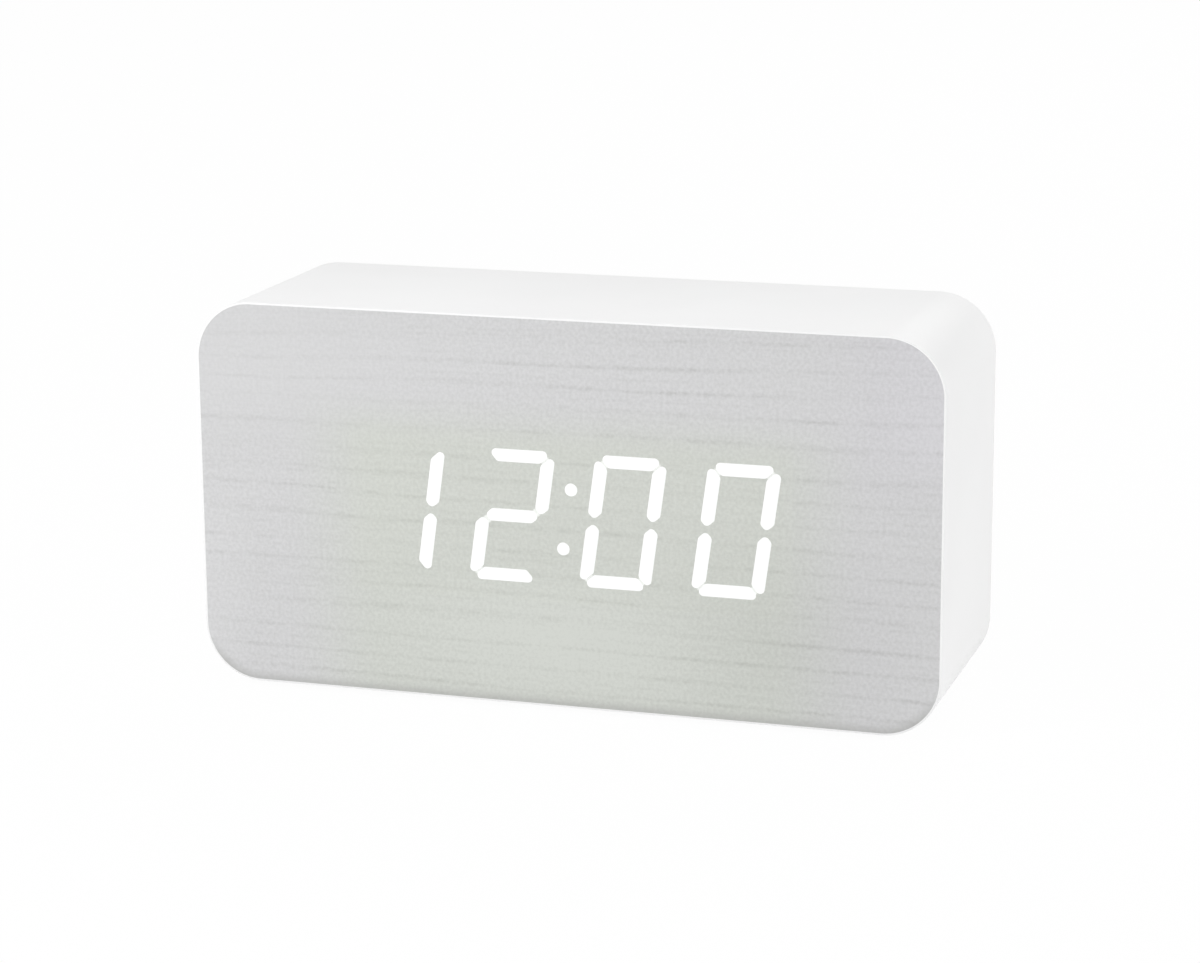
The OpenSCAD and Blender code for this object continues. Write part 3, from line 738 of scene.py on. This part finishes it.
for key, corners, turn in (("set", 32, 0), ("up", 3, 0), ("down", 3, pi)):
    pushButton(key + "_button", key + "_key")
    plunger(key + "_plunger", key + "_key")
    foot, height = roundNode(key + "_button")[:2]
    place = foot + Vector((0, height - buttonSet["dish"], 0))
    size = buttonSet["dotSize" if key == "set" else "arrowSize"]
    raisedMark(key + "Mark", key + "_key", "holder_plastic", place, size, buttonSet["markHeight"], corners,
               turn)
print("buttons made")

# Screws with a domed head, a cross recess and a threaded shank

screwSet = {
    "head": 0.0021, "shank": 0.0011, "threadRoot": 0.8, "pitch": 0.0005, "tip": 0.0004, "point": 0.0006,
    "neck": 0.0005, "headEdge": 0.0001, "crossLength": 0.0026, "crossWidth": 0.0006,
}
screwKinds = [
    {"node": "rear_screws", "headHeight": 0.0008, "length": 0.013, "out": 1, "recess": 0.0005},
    {"node": "board_screws", "headHeight": 0.0014, "length": 0.005, "out": 1, "recess": 0.0007},
    {"node": "key_board_screws", "headHeight": 0.0014, "length": 0.005, "out": -1, "recess": 0.0007,
     "places": [(-0.05045, 0.0281), (-0.01365, 0.0281), (-0.03905, 0.0515)]},
]


def screws(kind):
    s = screwSet | kind
    low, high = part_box(s["node"])
    head, h, length, pitch, out = s["head"], s["headHeight"], s["length"], s["pitch"], s["out"]
    crest, root, start = s["shank"], s["shank"] * s["threadRoot"], s["point"] - length
    edge = s["headEdge"]
    profile = [(-length, 0), (s["tip"] - length, root)]
    for i in range(int((length - 2 * s["point"]) / pitch)):
        t = start + i * pitch
        profile += [(t, root), (t + pitch / 2, crest)]
    profile += [(-s["neck"], root), (0, crest * 0.9), (0, head - edge), (edge, head)]
    profile += arcProfile(h * 0.3, head, h, head * 0.4) + [(h, 0)]
    near, far = sorted((out * (h - s["recess"]), out * (h + 0.001)))
    bm = turned(profile, (0, 0, 0), axis=(0, out, 0), steps=32)
    bm = crossCut(bm, (0, 0), s["crossLength"], s["crossWidth"], near, far)
    base = high.y - h if out > 0 else low.y + h
    corners = [(x, z) for x in (low.x + head, high.x - head) for z in (low.z + head, high.z - head)]
    copies(bm, [(x, base, z) for x, z in s.get("places", corners)])
    settle(camel(s["node"]), bm, "zinc_steel", s["node"])


for kind in screwKinds:
    screws(kind)
print("screws made")

# Power socket

socketSet = {
    "edge": 0.00008, "tongueEdge": 0.0001, "contacts": 5, "pitch": 0.0008, "width": 0.0004,
    "thickness": 0.00006, "inset": (0.0008, 0.0006), "proud": 0.00002, "tip": 0.0002,
}


def socketContacts():
    s = socketSet
    low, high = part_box("socket_tongue")
    x = nodeCentre("socket_tongue")[0]
    top, end = high.z + s["proud"], high.y - s["inset"][1]
    points = [(low.y + s["inset"][0], top), (end, top), (end + s["tip"], top - s["thickness"])]
    bm = bentStrip(points, s["width"], s["thickness"])
    middle = (s["contacts"] - 1) / 2
    copies(bm, [(x + (i - middle) * s["pitch"], 0, 0) for i in range(s["contacts"])])
    settle("socketContacts", bm, "contact_steel")


softened("power_socket", socketSet["edge"], name="socketShell")
softened("socket_tongue", socketSet["tongueEdge"])
socketContacts()
print("power socket made")

# Battery bay: door, cells, springs and plates

doorSet = {"edge": 0.00012, "arrowSize": 0.0022, "arrowHeight": 0.0003, "arrowRise": 0.0098}


def doorPieces():
    s = doorSet
    softened("battery_door", s["edge"], body="door")
    low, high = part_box("battery_door")
    place = ((low.x + high.x) / 2, high.y, low.z + s["arrowRise"])
    raisedMark("doorArrow", "door", "button_plastic", place, s["arrowSize"], s["arrowHeight"], 3, pi)


cellSet = {
    "radius": 0.00525, "length": 0.0445, "nub": 0.0019, "nubLength": 0.0012, "nubRound": 0.0003,
    "nubFillet": 0.0002,
    # the sleeve, how far it folds in over each end, and its shoulder at the button end
    "sleeve": 0.0003, "footGap": 0.0002, "footFold": 0.0009, "topGap": 0.0001, "topFold": 0.0014,
    "shoulder": 0.0007,
    # the disc at the flat end and the plate under the button, as distances in from the side
    "discEdge": 0.0014, "discSide": 0.0011, "discSlope": 0.00015, "discDepth": 0.0007,
    "plateSide": 0.0016, "plateGap": 0.0002, "plateDepth": 0.0006,
}


def cellRows():
    # the place of each cell's flat end and the way to its button end
    low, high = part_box("battery_cells")
    r, run = cellSet["radius"], cellSet["length"]
    y, z = (low.y + high.y) / 2, (low.z + high.z) / 2
    return [((low.x + run, y, low.z + r), (-1, 0, 0)), ((high.x - run, y, z), (1, 0, 0)),
            ((low.x + run, y, high.z - r), (-1, 0, 0))]


def cells():
    # a sleeve shrunk over the can's edges, the flat end inside it and the button end
    s = cellSet
    r, run, nub, skin, shoulder = s["radius"], s["length"], s["nub"], s["sleeve"], s["shoulder"]
    body = run - s["nubLength"]
    foot, top = s["footGap"], body - s["topGap"]
    sleeve = [(foot + skin, 0), (foot + skin, r - s["footFold"]), (foot, r - s["footFold"])]
    sleeve += [(foot, r - skin), (foot + skin, r), (top - shoulder, r)]
    sleeve += arcProfile(top - shoulder, r, top, r - shoulder)
    sleeve += [(top, r - s["topFold"]), (top - skin, r - s["topFold"]), (top - skin, 0)]
    disc, depth = r - s["discSide"], s["discDepth"]
    flat = [(0, 0), (0, r - s["discEdge"]), (s["discSlope"], disc), (depth, disc), (depth, 0)]
    plate, under, over = r - s["plateSide"], body - s["plateDepth"], body - s["plateGap"]
    fillet, ease = s["nubFillet"], s["nubRound"]
    button = [(under, 0), (under, plate), (over, plate), (over, nub + 2 * fillet), (body, nub + fillet / 2)]
    button += [(body + fillet, nub)] + arcProfile(run - ease, nub, run, nub - ease) + [(run, 0)]
    sleeves, ends = bmesh.new(), bmesh.new()
    for place, way in cellRows():
        turned(sleeve, place, axis=way, bm=sleeves)
        turned(flat, place, axis=way, bm=ends)
        turned(button, place, axis=way, bm=ends)
    settle("cellSleeves", sleeves, "cell_sleeve", "battery_cells")
    settle("cellEnds", ends, "cell_steel")


springSet = {
    "wire": 0.0003, "wireSides": 10, "wide": 0.0031, "narrow": 0.0017, "turns": 3, "turnSteps": 28,
    "length": 0.003,
}


def springs():
    # coils that narrow towards the cells
    s = springSet
    bm = bmesh.new()
    steps = s["turns"] * s["turnSteps"]
    run = s["length"] - 2 * s["wire"]
    for place, way in cellRows():
        axis = Vector(way)
        before = set(bm.verts)
        ring = bmesh.ops.create_circle(bm, cap_ends=True, radius=s["wire"], segments=s["wireSides"])["verts"]
        move(bm, ring, (s["wide"], 0, 0))
        for turn in ("X", "Y"):
            bmesh.ops.rotate(bm, cent=(0, 0, 0), matrix=Matrix.Rotation(pi / 2, 3, turn), verts=ring)
        geom = ring + [g for g in list(bm.edges) + list(bm.faces) if all(v in ring for v in g.verts)]
        bmesh.ops.spin(bm, geom=geom, cent=(0, 0, 0), axis=axis, dvec=axis * (run / steps),
                       angle=2 * pi * s["turns"], steps=steps, use_merge=False, use_duplicate=False)
        whole = [v for v in bm.verts if v not in before]
        for v in whole:
            along = axis * v.co.dot(axis)
            out = v.co - along
            out -= out.normalized() * (s["wide"] - s["narrow"]) * min(max(v.co.dot(axis) / run, 0), 1)
            v.co = along + out
        start = Vector(place) - axis * (s["length"] - s["wire"])
        move(bm, whole, start)
    settle("cellSprings", bm, "contact_steel", "contact_springs")


doorPieces()
cells()
springs()
softened("contact_plates", radius=0.0001)
print("battery bay made")

# Parts on the display board

chipSet = {
    "width": 0.0053, "lift": 0.0001, "edge": 0.00013, "dimple": 0.0005, "dimpleDepth": 0.00012,
    "dimpleX": 0.0014, "dimpleZ": 0.0012, "pitch": 0.00127, "legWidth": 0.00042, "legThickness": 0.00013,
    "legSunk": 0.0002, "knee": 0.00035, "bend": 0.00015, "legs": {"driver_chip": 14, "clock_chip": 10},
}


def chip(node):
    s = chipSet
    low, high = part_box(node)
    x, z = nodeCentre(node)
    half, legs, bend = s["width"] / 2, s["legs"][node], s["bend"]
    bm = bmesh.new()
    block(bm, (low.x, low.y + s["lift"], z - half), (high.x, high.y, z + half))
    roundEdges(bm, list(bm.edges), s["edge"], 2)
    place = (low.x + s["dimpleX"], high.y - s["dimpleDepth"], z + half - s["dimpleZ"])
    dimple = turned(rodProfile(0, s["dimple"], s["dimple"]), place, steps=24)
    settle(camel(node), carved(bm, dimple), "chip_epoxy", node)
    middle, foot, knee = (low.y + high.y) / 2, low.y + s["legThickness"], half + s["knee"]
    points = [(middle, half - s["legSunk"]), (middle, knee - bend), (middle - bend, knee)]
    points += [(foot + bend, knee + bend), (foot, knee + 2 * bend), (foot, (high.z - low.z) / 2)]
    bm = bentStrip(points, s["legWidth"], s["legThickness"])
    bmesh.ops.mirror(bm, geom=everything(bm), axis="Z", matrix=Matrix.Identity(4))
    copies(bm, [(x + (i - (legs - 1) / 2) * s["pitch"], 0, z) for i in range(legs)])
    settle(camel(node) + "Legs", bm, "contact_steel")


crystalSet = {"base": 0.0005, "step": 0.00035, "topEdge": 0.0006, "baseEdge": 0.00012}


def crystal():
    s = crystalSet
    low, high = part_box("crystal")
    level, corner = low.y + s["base"], (high.z - low.z) / 2 - 0.00005
    bm = roundedBox(low, (high.x, level, high.z), corner, 16)
    step = Vector((s["step"], 0, s["step"]))
    can = roundedBox(low + step, high - step, corner - s["step"], 16)
    roundEdges(can, onLevel(can.edges, high.y), s["topEdge"], 4)
    bm.from_mesh(meshOf(can))
    roundEdges(bm, onLevel(bm.edges, level), s["baseEdge"], 2)
    settle("crystalCan", bm, "can_steel", "crystal")


capacitorSet = {
    "crimp": 0.0003, "crimpStart": 0.0009, "crimpLength": 0.0009, "footEdge": 0.0002, "roll": 0.0005,
    "lip": 0.0009, "lipDepth": 0.00015, "lipEdge": 0.0001, "scoreLength": 0.0024, "scoreWidth": 0.00014,
    "lidSunk": 0.00005, "lidGap": 0.00005, "lidDepth": 0.0003, "lidSlope": (0.00003, 0.0001),
}


def capacitor():
    s = capacitorSet
    foot, h, r = roundNode("capacitor")
    lip, e = r - s["lip"], s["footEdge"]
    sleeve = [(0, 0), (0, r - e), (e, r)]
    sleeve += [(s["crimpStart"] + s["crimpLength"] * i / 10, r - s["crimp"] * sin(pi * i / 10) ** 2)
               for i in range(11)]
    sleeve += arcProfile(h - s["roll"], r, h, r - s["roll"])
    well = h - s["lipDepth"]
    sleeve += [(h, lip), (well, lip - s["lipEdge"]), (well, 0)]
    settle("capacitorSleeve", turned(sleeve, foot), "capacitor_sleeve", "capacitor")
    inner, base, top = lip - s["lidGap"], h - s["lidDepth"], h - s["lidSunk"]
    fall, run = s["lidSlope"]
    lid = [(base, 0), (base, inner), (top - fall, inner), (top, inner - run), (top, 0)]
    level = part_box("capacitor")[1].y
    bm = crossCut(turned(lid, foot), nodeCentre("capacitor"), s["scoreLength"], s["scoreWidth"],
                  level - s["scoreWidth"], level + 0.001)
    settle("capacitorTop", bm, "can_steel")


sensorSet = {
    "edge": 0.0001, "roll": 0.00035, "lip": 0.0007, "lipEdge": 0.0001, "well": 0.0003,
    "feltGap": 0.00085, "feltSunk": 0.0002, "feltSide": 0.00012, "feltDome": (0.00004, 0.00025),
}


def soundSensor():
    # a can rolled over a disc of felt
    s = sensorSet
    foot, h, r = roundNode("sound_sensor")
    lip, well, felt = r - s["lip"], h - s["well"], r - s["feltGap"]
    can = [(0, 0), (0, r - s["edge"]), (s["edge"], r)] + arcProfile(h - s["roll"], r, h, r - s["roll"])
    inner = lip - s["lipEdge"]
    can += [(h, lip), (h - s["lipEdge"], inner), (well, inner), (well, 0)]
    settle("soundSensorCan", turned(can, foot), "can_steel", "sound_sensor")
    base, (fall, run) = well - s["feltSunk"], s["feltDome"]
    disc = [(base, 0), (base, felt), (h - s["feltSide"], felt), (h - fall, felt - run)]
    settle("soundSensorFelt", turned(disc + [(h, 0)], foot), "foot_rubber")


coinSet = {
    "cap": 0.0087, "seal": 0.0092, "round": 0.0004, "edge": 0.0001, "rim": 0.00025, "groove": 0.0005,
    "lip": 0.0012, "lipSlope": (0.00005, 0.0003), "steps": 72, "holderEdge": 0.0002,
    "clipWidth": 0.0042, "clipThickness": 0.0002, "clipGap": 0.00005, "clipBase": 0.0001,
    "clipRise": 0.00025, "clipFoot": 0.0012,
    # the clip's tongue over the cell, as rises and places along it
    "clipTop": [(0, 0.0052), (-0.0002, 0.0040), (0, 0.0028), (0.0003, 0.0018)],
}


def coinCell():
    # a cell with a smaller cap underneath and a seal round it, in its holder under a sprung clip
    s = coinSet
    foot, h, r = roundNode("coin_cell")
    cap, seal, e, lip = s["cap"], s["seal"], s["round"], r - s["lip"]
    edge, rim, groove, (fall, run) = s["edge"], s["rim"], s["groove"], s["lipSlope"]
    profile = [(0, 0), (0, cap - e), (edge, cap - edge), (e, cap), (groove, cap + edge), (groove, seal),
               (rim, seal + edge), (rim, r - 3 * edge), (rim + edge, r - edge), (groove + edge, r)]
    profile += arcProfile(h - e, r, h, r - e) + [(h, lip), (h - fall, lip - run), (h - fall, 0)]
    settle("coinCell", turned(profile, foot, steps=s["steps"]), "cell_steel", "coin_cell")
    softened("coin_cell_holder", s["holderEdge"])
    low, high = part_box("coin_cell_holder")
    out, t = (high.x - low.x) / 2 + s["clipGap"], s["clipThickness"]
    base, top = low.y + s["clipBase"], high.y + s["clipRise"]
    points = [(base, out + s["clipFoot"]), (base, out + 1.5 * t), (base + t, out + t), (top - t, out + t),
              (top, out - t / 2)]
    bm = bentStrip(points + [(top + rise, z) for rise, z in s["clipTop"]], s["clipWidth"], t)
    move(bm, bm.verts, (foot.x, 0, foot.z))
    settle("coinCellClip", bm, "contact_steel")


ribbonSet = {
    "wires": 6, "radius": 0.00045, "pitch": 0.00102, "web": 0.0002, "webInset": 0.00002,
    "socketEdge": 0.0002,
}


def ribbon():
    s = ribbonSet
    low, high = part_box("ribbon_lead")
    x, z = nodeCentre("ribbon_lead")
    half, web, inset = (s["wires"] - 1) / 2 * s["pitch"], s["web"] / 2, s["webInset"]
    bm = bmesh.new()
    for i in range(s["wires"]):
        wire = rodProfile(0, high.y - low.y, s["radius"])
        turned(wire, (x - half + i * s["pitch"], low.y, z), steps=20, bm=bm)
    block(bm, (x - half, low.y + inset, z - web), (x + half, high.y - inset, z + web))
    settle("ribbonLead", bm, "ribbon_vinyl", "ribbon_lead")


resistorSet = {
    "count": 8, "firstX": -0.0040, "pitch": 0.0023, "z": 0.0443, "length": 0.002, "width": 0.00125,
    "height": 0.0005, "end": 0.0004, "over": 0.00002, "bodyEdge": 0.00004, "endEdge": 0.00006,
}


def resistors():
    s = resistorSet
    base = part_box("display_board")[1].y
    wide, half, over = s["width"] / 2, s["length"] / 2, s["over"]
    inner = half - s["end"]
    bodies, ends = bmesh.new(), bmesh.new()
    block(bodies, (-wide, over, -inner - 0.0001), (wide, s["height"], inner + 0.0001))
    roundEdges(bodies, list(bodies.edges), s["bodyEdge"], 1)
    for near, far in ((-half, -inner), (inner, half)):
        made = block(ends, (-wide - over, 0, near), (wide + over, s["height"] + over, far))
        roundEdges(ends, list({e for f in made for e in f.edges}), s["endEdge"], 2)
    places = [(s["firstX"] + i * s["pitch"], base, s["z"]) for i in range(s["count"])]
    settle("resistorBodies", copies(bodies, places), "chip_epoxy")
    settle("resistorEnds", copies(ends, places), "contact_steel")


leadSet = {
    "radius": 0.00065, "core": 0.0003, "bare": 0.0014, "bend": 0.002, "startY": 0.0071, "turnY": -0.00265,
    "endY": -0.0139,
    # X and Z of each lead, at the bay and at the board
    "ends": [((0.00745, 0.0488), (0.0140, 0.0445)), ((0.05535, 0.0262), (0.0460, 0.0335))],
    # profiles of the solder, as heights and radii
    "boardSolder": [
        (0, 0), (0, 0.0011), (0.0002, 0.0009), (0.0005, 0.0006), (0.001, 0.00045), (0.0012, 0.00025),
        (0.0012, 0)
    ],
    "tagSolder": [
        (0, 0), (0.0001, 0.0005), (0.0005, 0.0008), (0.001, 0.0008), (0.0014, 0.0005), (0.0015, 0)
    ],
}


def leadRoute(start, end):
    # straight from the bay, a bend, straight, a bend, straight to the board
    s = leadSet
    run = Vector((end[0] - start[0], 0, end[1] - start[1]))
    along, back, r = run.normalized(), Vector((0, -1, 0)), s["bend"]
    first = Vector((start[0], s["turnY"], start[1])) + (along - back) * r
    last = Vector((start[0], s["turnY"], start[1])) + run - (along - back) * r
    points = [Vector((start[0], s["startY"], start[1]))]
    for centre, way, other in ((first, back, along), (last, along, back)):
        points += [centre - other * r * cos(i * pi / 16) + way * r * sin(i * pi / 16) for i in range(9)]
    return points + [Vector((end[0], s["endY"], end[1]))]


def tube(bm, points, radius):
    # a round wire along a line of points
    curve = bpy.data.curves.new("form", "CURVE")
    curve.dimensions = "3D"
    curve.bevel_depth = radius
    curve.bevel_resolution = 4
    curve.use_fill_caps = True
    spline = curve.splines.new("POLY")
    spline.points.add(len(points) - 1)
    for knot, point in zip(spline.points, points):
        knot.co = (*point, 1)
    wire = bpy.data.objects.new("form", curve)
    bm.from_mesh(bpy.data.meshes.new_from_object(wire))
    bpy.data.objects.remove(wire)


def leads():
    s = leadSet
    sleeve, solder = bmesh.new(), bmesh.new()
    for start, end in s["ends"]:
        points = leadRoute(start, end)
        bare = points[-1] + Vector((0, s["bare"], 0))
        tube(sleeve, points[:-1] + [bare], s["radius"])
        tube(solder, [bare + Vector((0, 0.0003, 0)), points[-1] + Vector((0, 0.0001, 0))], s["core"])
        turned(s["boardSolder"], points[-1], steps=24, bm=solder)
        turned(s["tagSolder"], points[0] - Vector((0, 0.0002, 0)), steps=24, bm=solder)
    settle("batteryLeads", sleeve, "lead_vinyl", "battery_leads")
    settle("leadSolder", solder, "contact_steel")


chip("driver_chip")
chip("clock_chip")
crystal()
capacitor()
soundSensor()
coinCell()
softened("ribbon_sockets", ribbonSet["socketEdge"])
ribbon()
leads()
resistors()
softened("board_spacers", radius=0.00015)
softened("led_chips", radius=0.00008)
softened("corner_blocks", radius=0.0003)
print("display board parts made")

# Parts on the key board

switchSet = {
    "corner": 0.0004, "bodyHeight": 0.00305, "footEdge": 0.00015, "plate": 0.00025, "plateInset": 0.00015,
    "plateEdge": 0.00008, "rivet": 0.0004, "rivetPlace": 0.0023, "rivetSunk": 0.0005, "rivetTop": 0.00005,
    "hole": 0.0019, "holeDepth": 0.002, "plateHoleDepth": 0.001,
}


def keySwitches():
    # moulded bodies with riveted steel plates, and a well for each plunger
    s = switchSet
    low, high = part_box("switch_bodies")
    half, height, top = (high.z - low.z) / 2, high.y - low.y, s["bodyHeight"]
    centre = (low.z + high.z) / 2
    places = [(nodeCentre(key + "_button")[0], low.y, centre) for key in ("set", "up", "down")]
    side, plateTop = half - s["plateInset"], top + s["plate"]
    body = roundedBox((-half, 0, -half), (half, top, half), s["corner"], 4)
    roundEdges(body, onLevel(body.edges, 0), s["footEdge"], 2)
    plate = roundedBox((-side, top, -side), (side, plateTop, side), s["corner"], 4)
    roundEdges(plate, onLevel(plate.edges, plateTop), s["plateEdge"], 2)
    body = bored(body, top, s["hole"], s["holeDepth"])
    plate = bored(plate, top, s["hole"], s["plateHoleDepth"])
    root = top - s["rivetSunk"]
    rivet = [(root, 0), (root, s["rivet"])]
    rivet += arcProfile(plateTop, s["rivet"], height, s["rivetTop"]) + [(height, 0)]
    for x in (-1, 1):
        for z in (-1, 1):
            turned(rivet, (x * s["rivetPlace"], 0, z * s["rivetPlace"]), steps=16, bm=body)
    settle("switchBodies", copies(body, places), "holder_plastic", "switch_bodies")
    settle("switchPlates", copies(plate, places), "can_steel")


buzzerSet = {
    "step": 0.0006, "stepDepth": 0.00025, "edge": 0.0001, "round": 0.0004, "hole": 0.0008,
    "holeDepth": 0.002, "collar": 0.0009, "collarDepth": 0.0002,
}


def buzzer():
    s = buzzerSet
    foot, h, r = roundNode("buzzer")
    thin, e, hole, step, lip = r - s["stepDepth"], s["round"], s["hole"], s["step"], s["hole"] + s["collar"]
    edge, sunk, floor = s["edge"], s["collarDepth"], h - s["holeDepth"]
    profile = [(0, 0), (0, r), (step - edge, r), (step, r - edge), (step, thin)]
    profile += arcProfile(h - e, thin, h, thin - e)
    profile += [(h, lip), (h - sunk, lip - sunk), (h - sunk, hole + edge), (h - sunk - edge, hole),
                (floor, hole), (floor, 0)]
    settle("buzzerCan", turned(profile, foot), "holder_plastic", "buzzer")


keySwitches()
buzzer()
softened("temperature_sensor", radius=0.0003, segments=3)
print("key board parts made")

# Camera, floor and light

cameraSet = {
    "place": (0.195733, -0.615404, 0.196348), "azimuth": 17.602, "elevation": 13.553, "roll": -0.387,
    "lens": 100.242, "sensor": 36, "near": 0.01,
}


def makeCamera():
    s = cameraSet
    data = bpy.data.cameras.new("camera")
    data.lens = s["lens"]
    data.sensor_width = s["sensor"]
    data.clip_start = s["near"]
    camera = placed("camera", data)
    camera.location = s["place"]
    turn = Matrix.Rotation(radians(s["azimuth"]), 3, "Z")
    turn = turn @ Matrix.Rotation(radians(90 - s["elevation"]), 3, "X")
    camera.rotation_euler = (turn @ Matrix.Rotation(radians(s["roll"]), 3, "Z")).to_euler()
    bpy.context.scene.camera = camera


lightSet = {
    "world": 0.55, "aim": (0, 0, 0.04),
    "lamps": [
        {"name": "keyLamp", "place": (-0.38, -0.52, 0.42), "size": 0.35, "power": 2.3},
        {"name": "sideLamp", "place": (1.15, -0.25, 0.55), "size": 0.9, "power": 4.6},
        {"name": "rearLamp", "place": (0.2, 1.1, 0.9), "size": 1.0, "power": 3.5},
    ],
}


def makeLamp(name, place, size, power):
    data = bpy.data.lights.new(name, "AREA")
    data.shape = "DISK"
    data.size = size
    data.energy = power
    lamp = placed(name, data)
    lamp.location = place
    lamp.rotation_euler = (Vector(lightSet["aim"]) - Vector(place)).to_track_quat("-Z", "Y").to_euler()


def seenAsBackground(tree):
    # 1 for the camera's own rays, and for those that gloss or glass sends on
    rays = tree.nodes.new("ShaderNodeLightPath").outputs
    seen = Wire(tree, rays["Is Camera Ray"]) + Wire(tree, rays["Is Glossy Ray"])
    return (seen + Wire(tree, rays["Is Transmission Ray"])).math("MINIMUM", 1)


def makeWorld():
    world = bpy.data.worlds.new("studio")
    bpy.context.scene.world = world
    world.use_nodes = True
    tree = world.node_tree
    tree.nodes.clear()
    strength = lightSet["world"] + (1 - lightSet["world"]) * seenAsBackground(tree)
    sky = strength.node("ShaderNodeBackground", {}, {"Color": (1, 1, 1, 1), "Strength": strength})
    feed(tree, tree.nodes.new("ShaderNodeOutputWorld").inputs[0], sky)


floorSet = {"radius": 6, "drop": 0.00002, "tone": (246, 246, 246), "rough": 0.9, "glow": 0.975}


def makeFloor():
    s = floorSet
    bm = bmesh.new()
    bmesh.ops.create_circle(bm, cap_ends=True, radius=s["radius"], segments=64)
    move(bm, bm.verts, (0, 0, -s["drop"]))
    f = Finish("paper_floor", color=s["tone"], rough=s["rough"], level=0.0)
    share = seenAsBackground(f.tree) * s["glow"]
    white = share.node("ShaderNodeEmission", {}, {"Strength": 1.0})
    paper = Wire(f.tree, f.shader.outputs[0])
    both = share.node("ShaderNodeMixShader", {}, {0: share, 1: paper, 2: white})
    feed(f.tree, f.tree.nodes["Material Output"].inputs[0], both)
    mesh = meshOf(bm, "floor")
    mesh.materials.append(f.material)
    placed("floor", mesh)


makeCamera()
makeWorld()
makeFloor()
for lamp in lightSet["lamps"]:
    makeLamp(**lamp)
bpy.context.scene.view_settings.view_transform = "Standard"
print("camera, floor and light made")
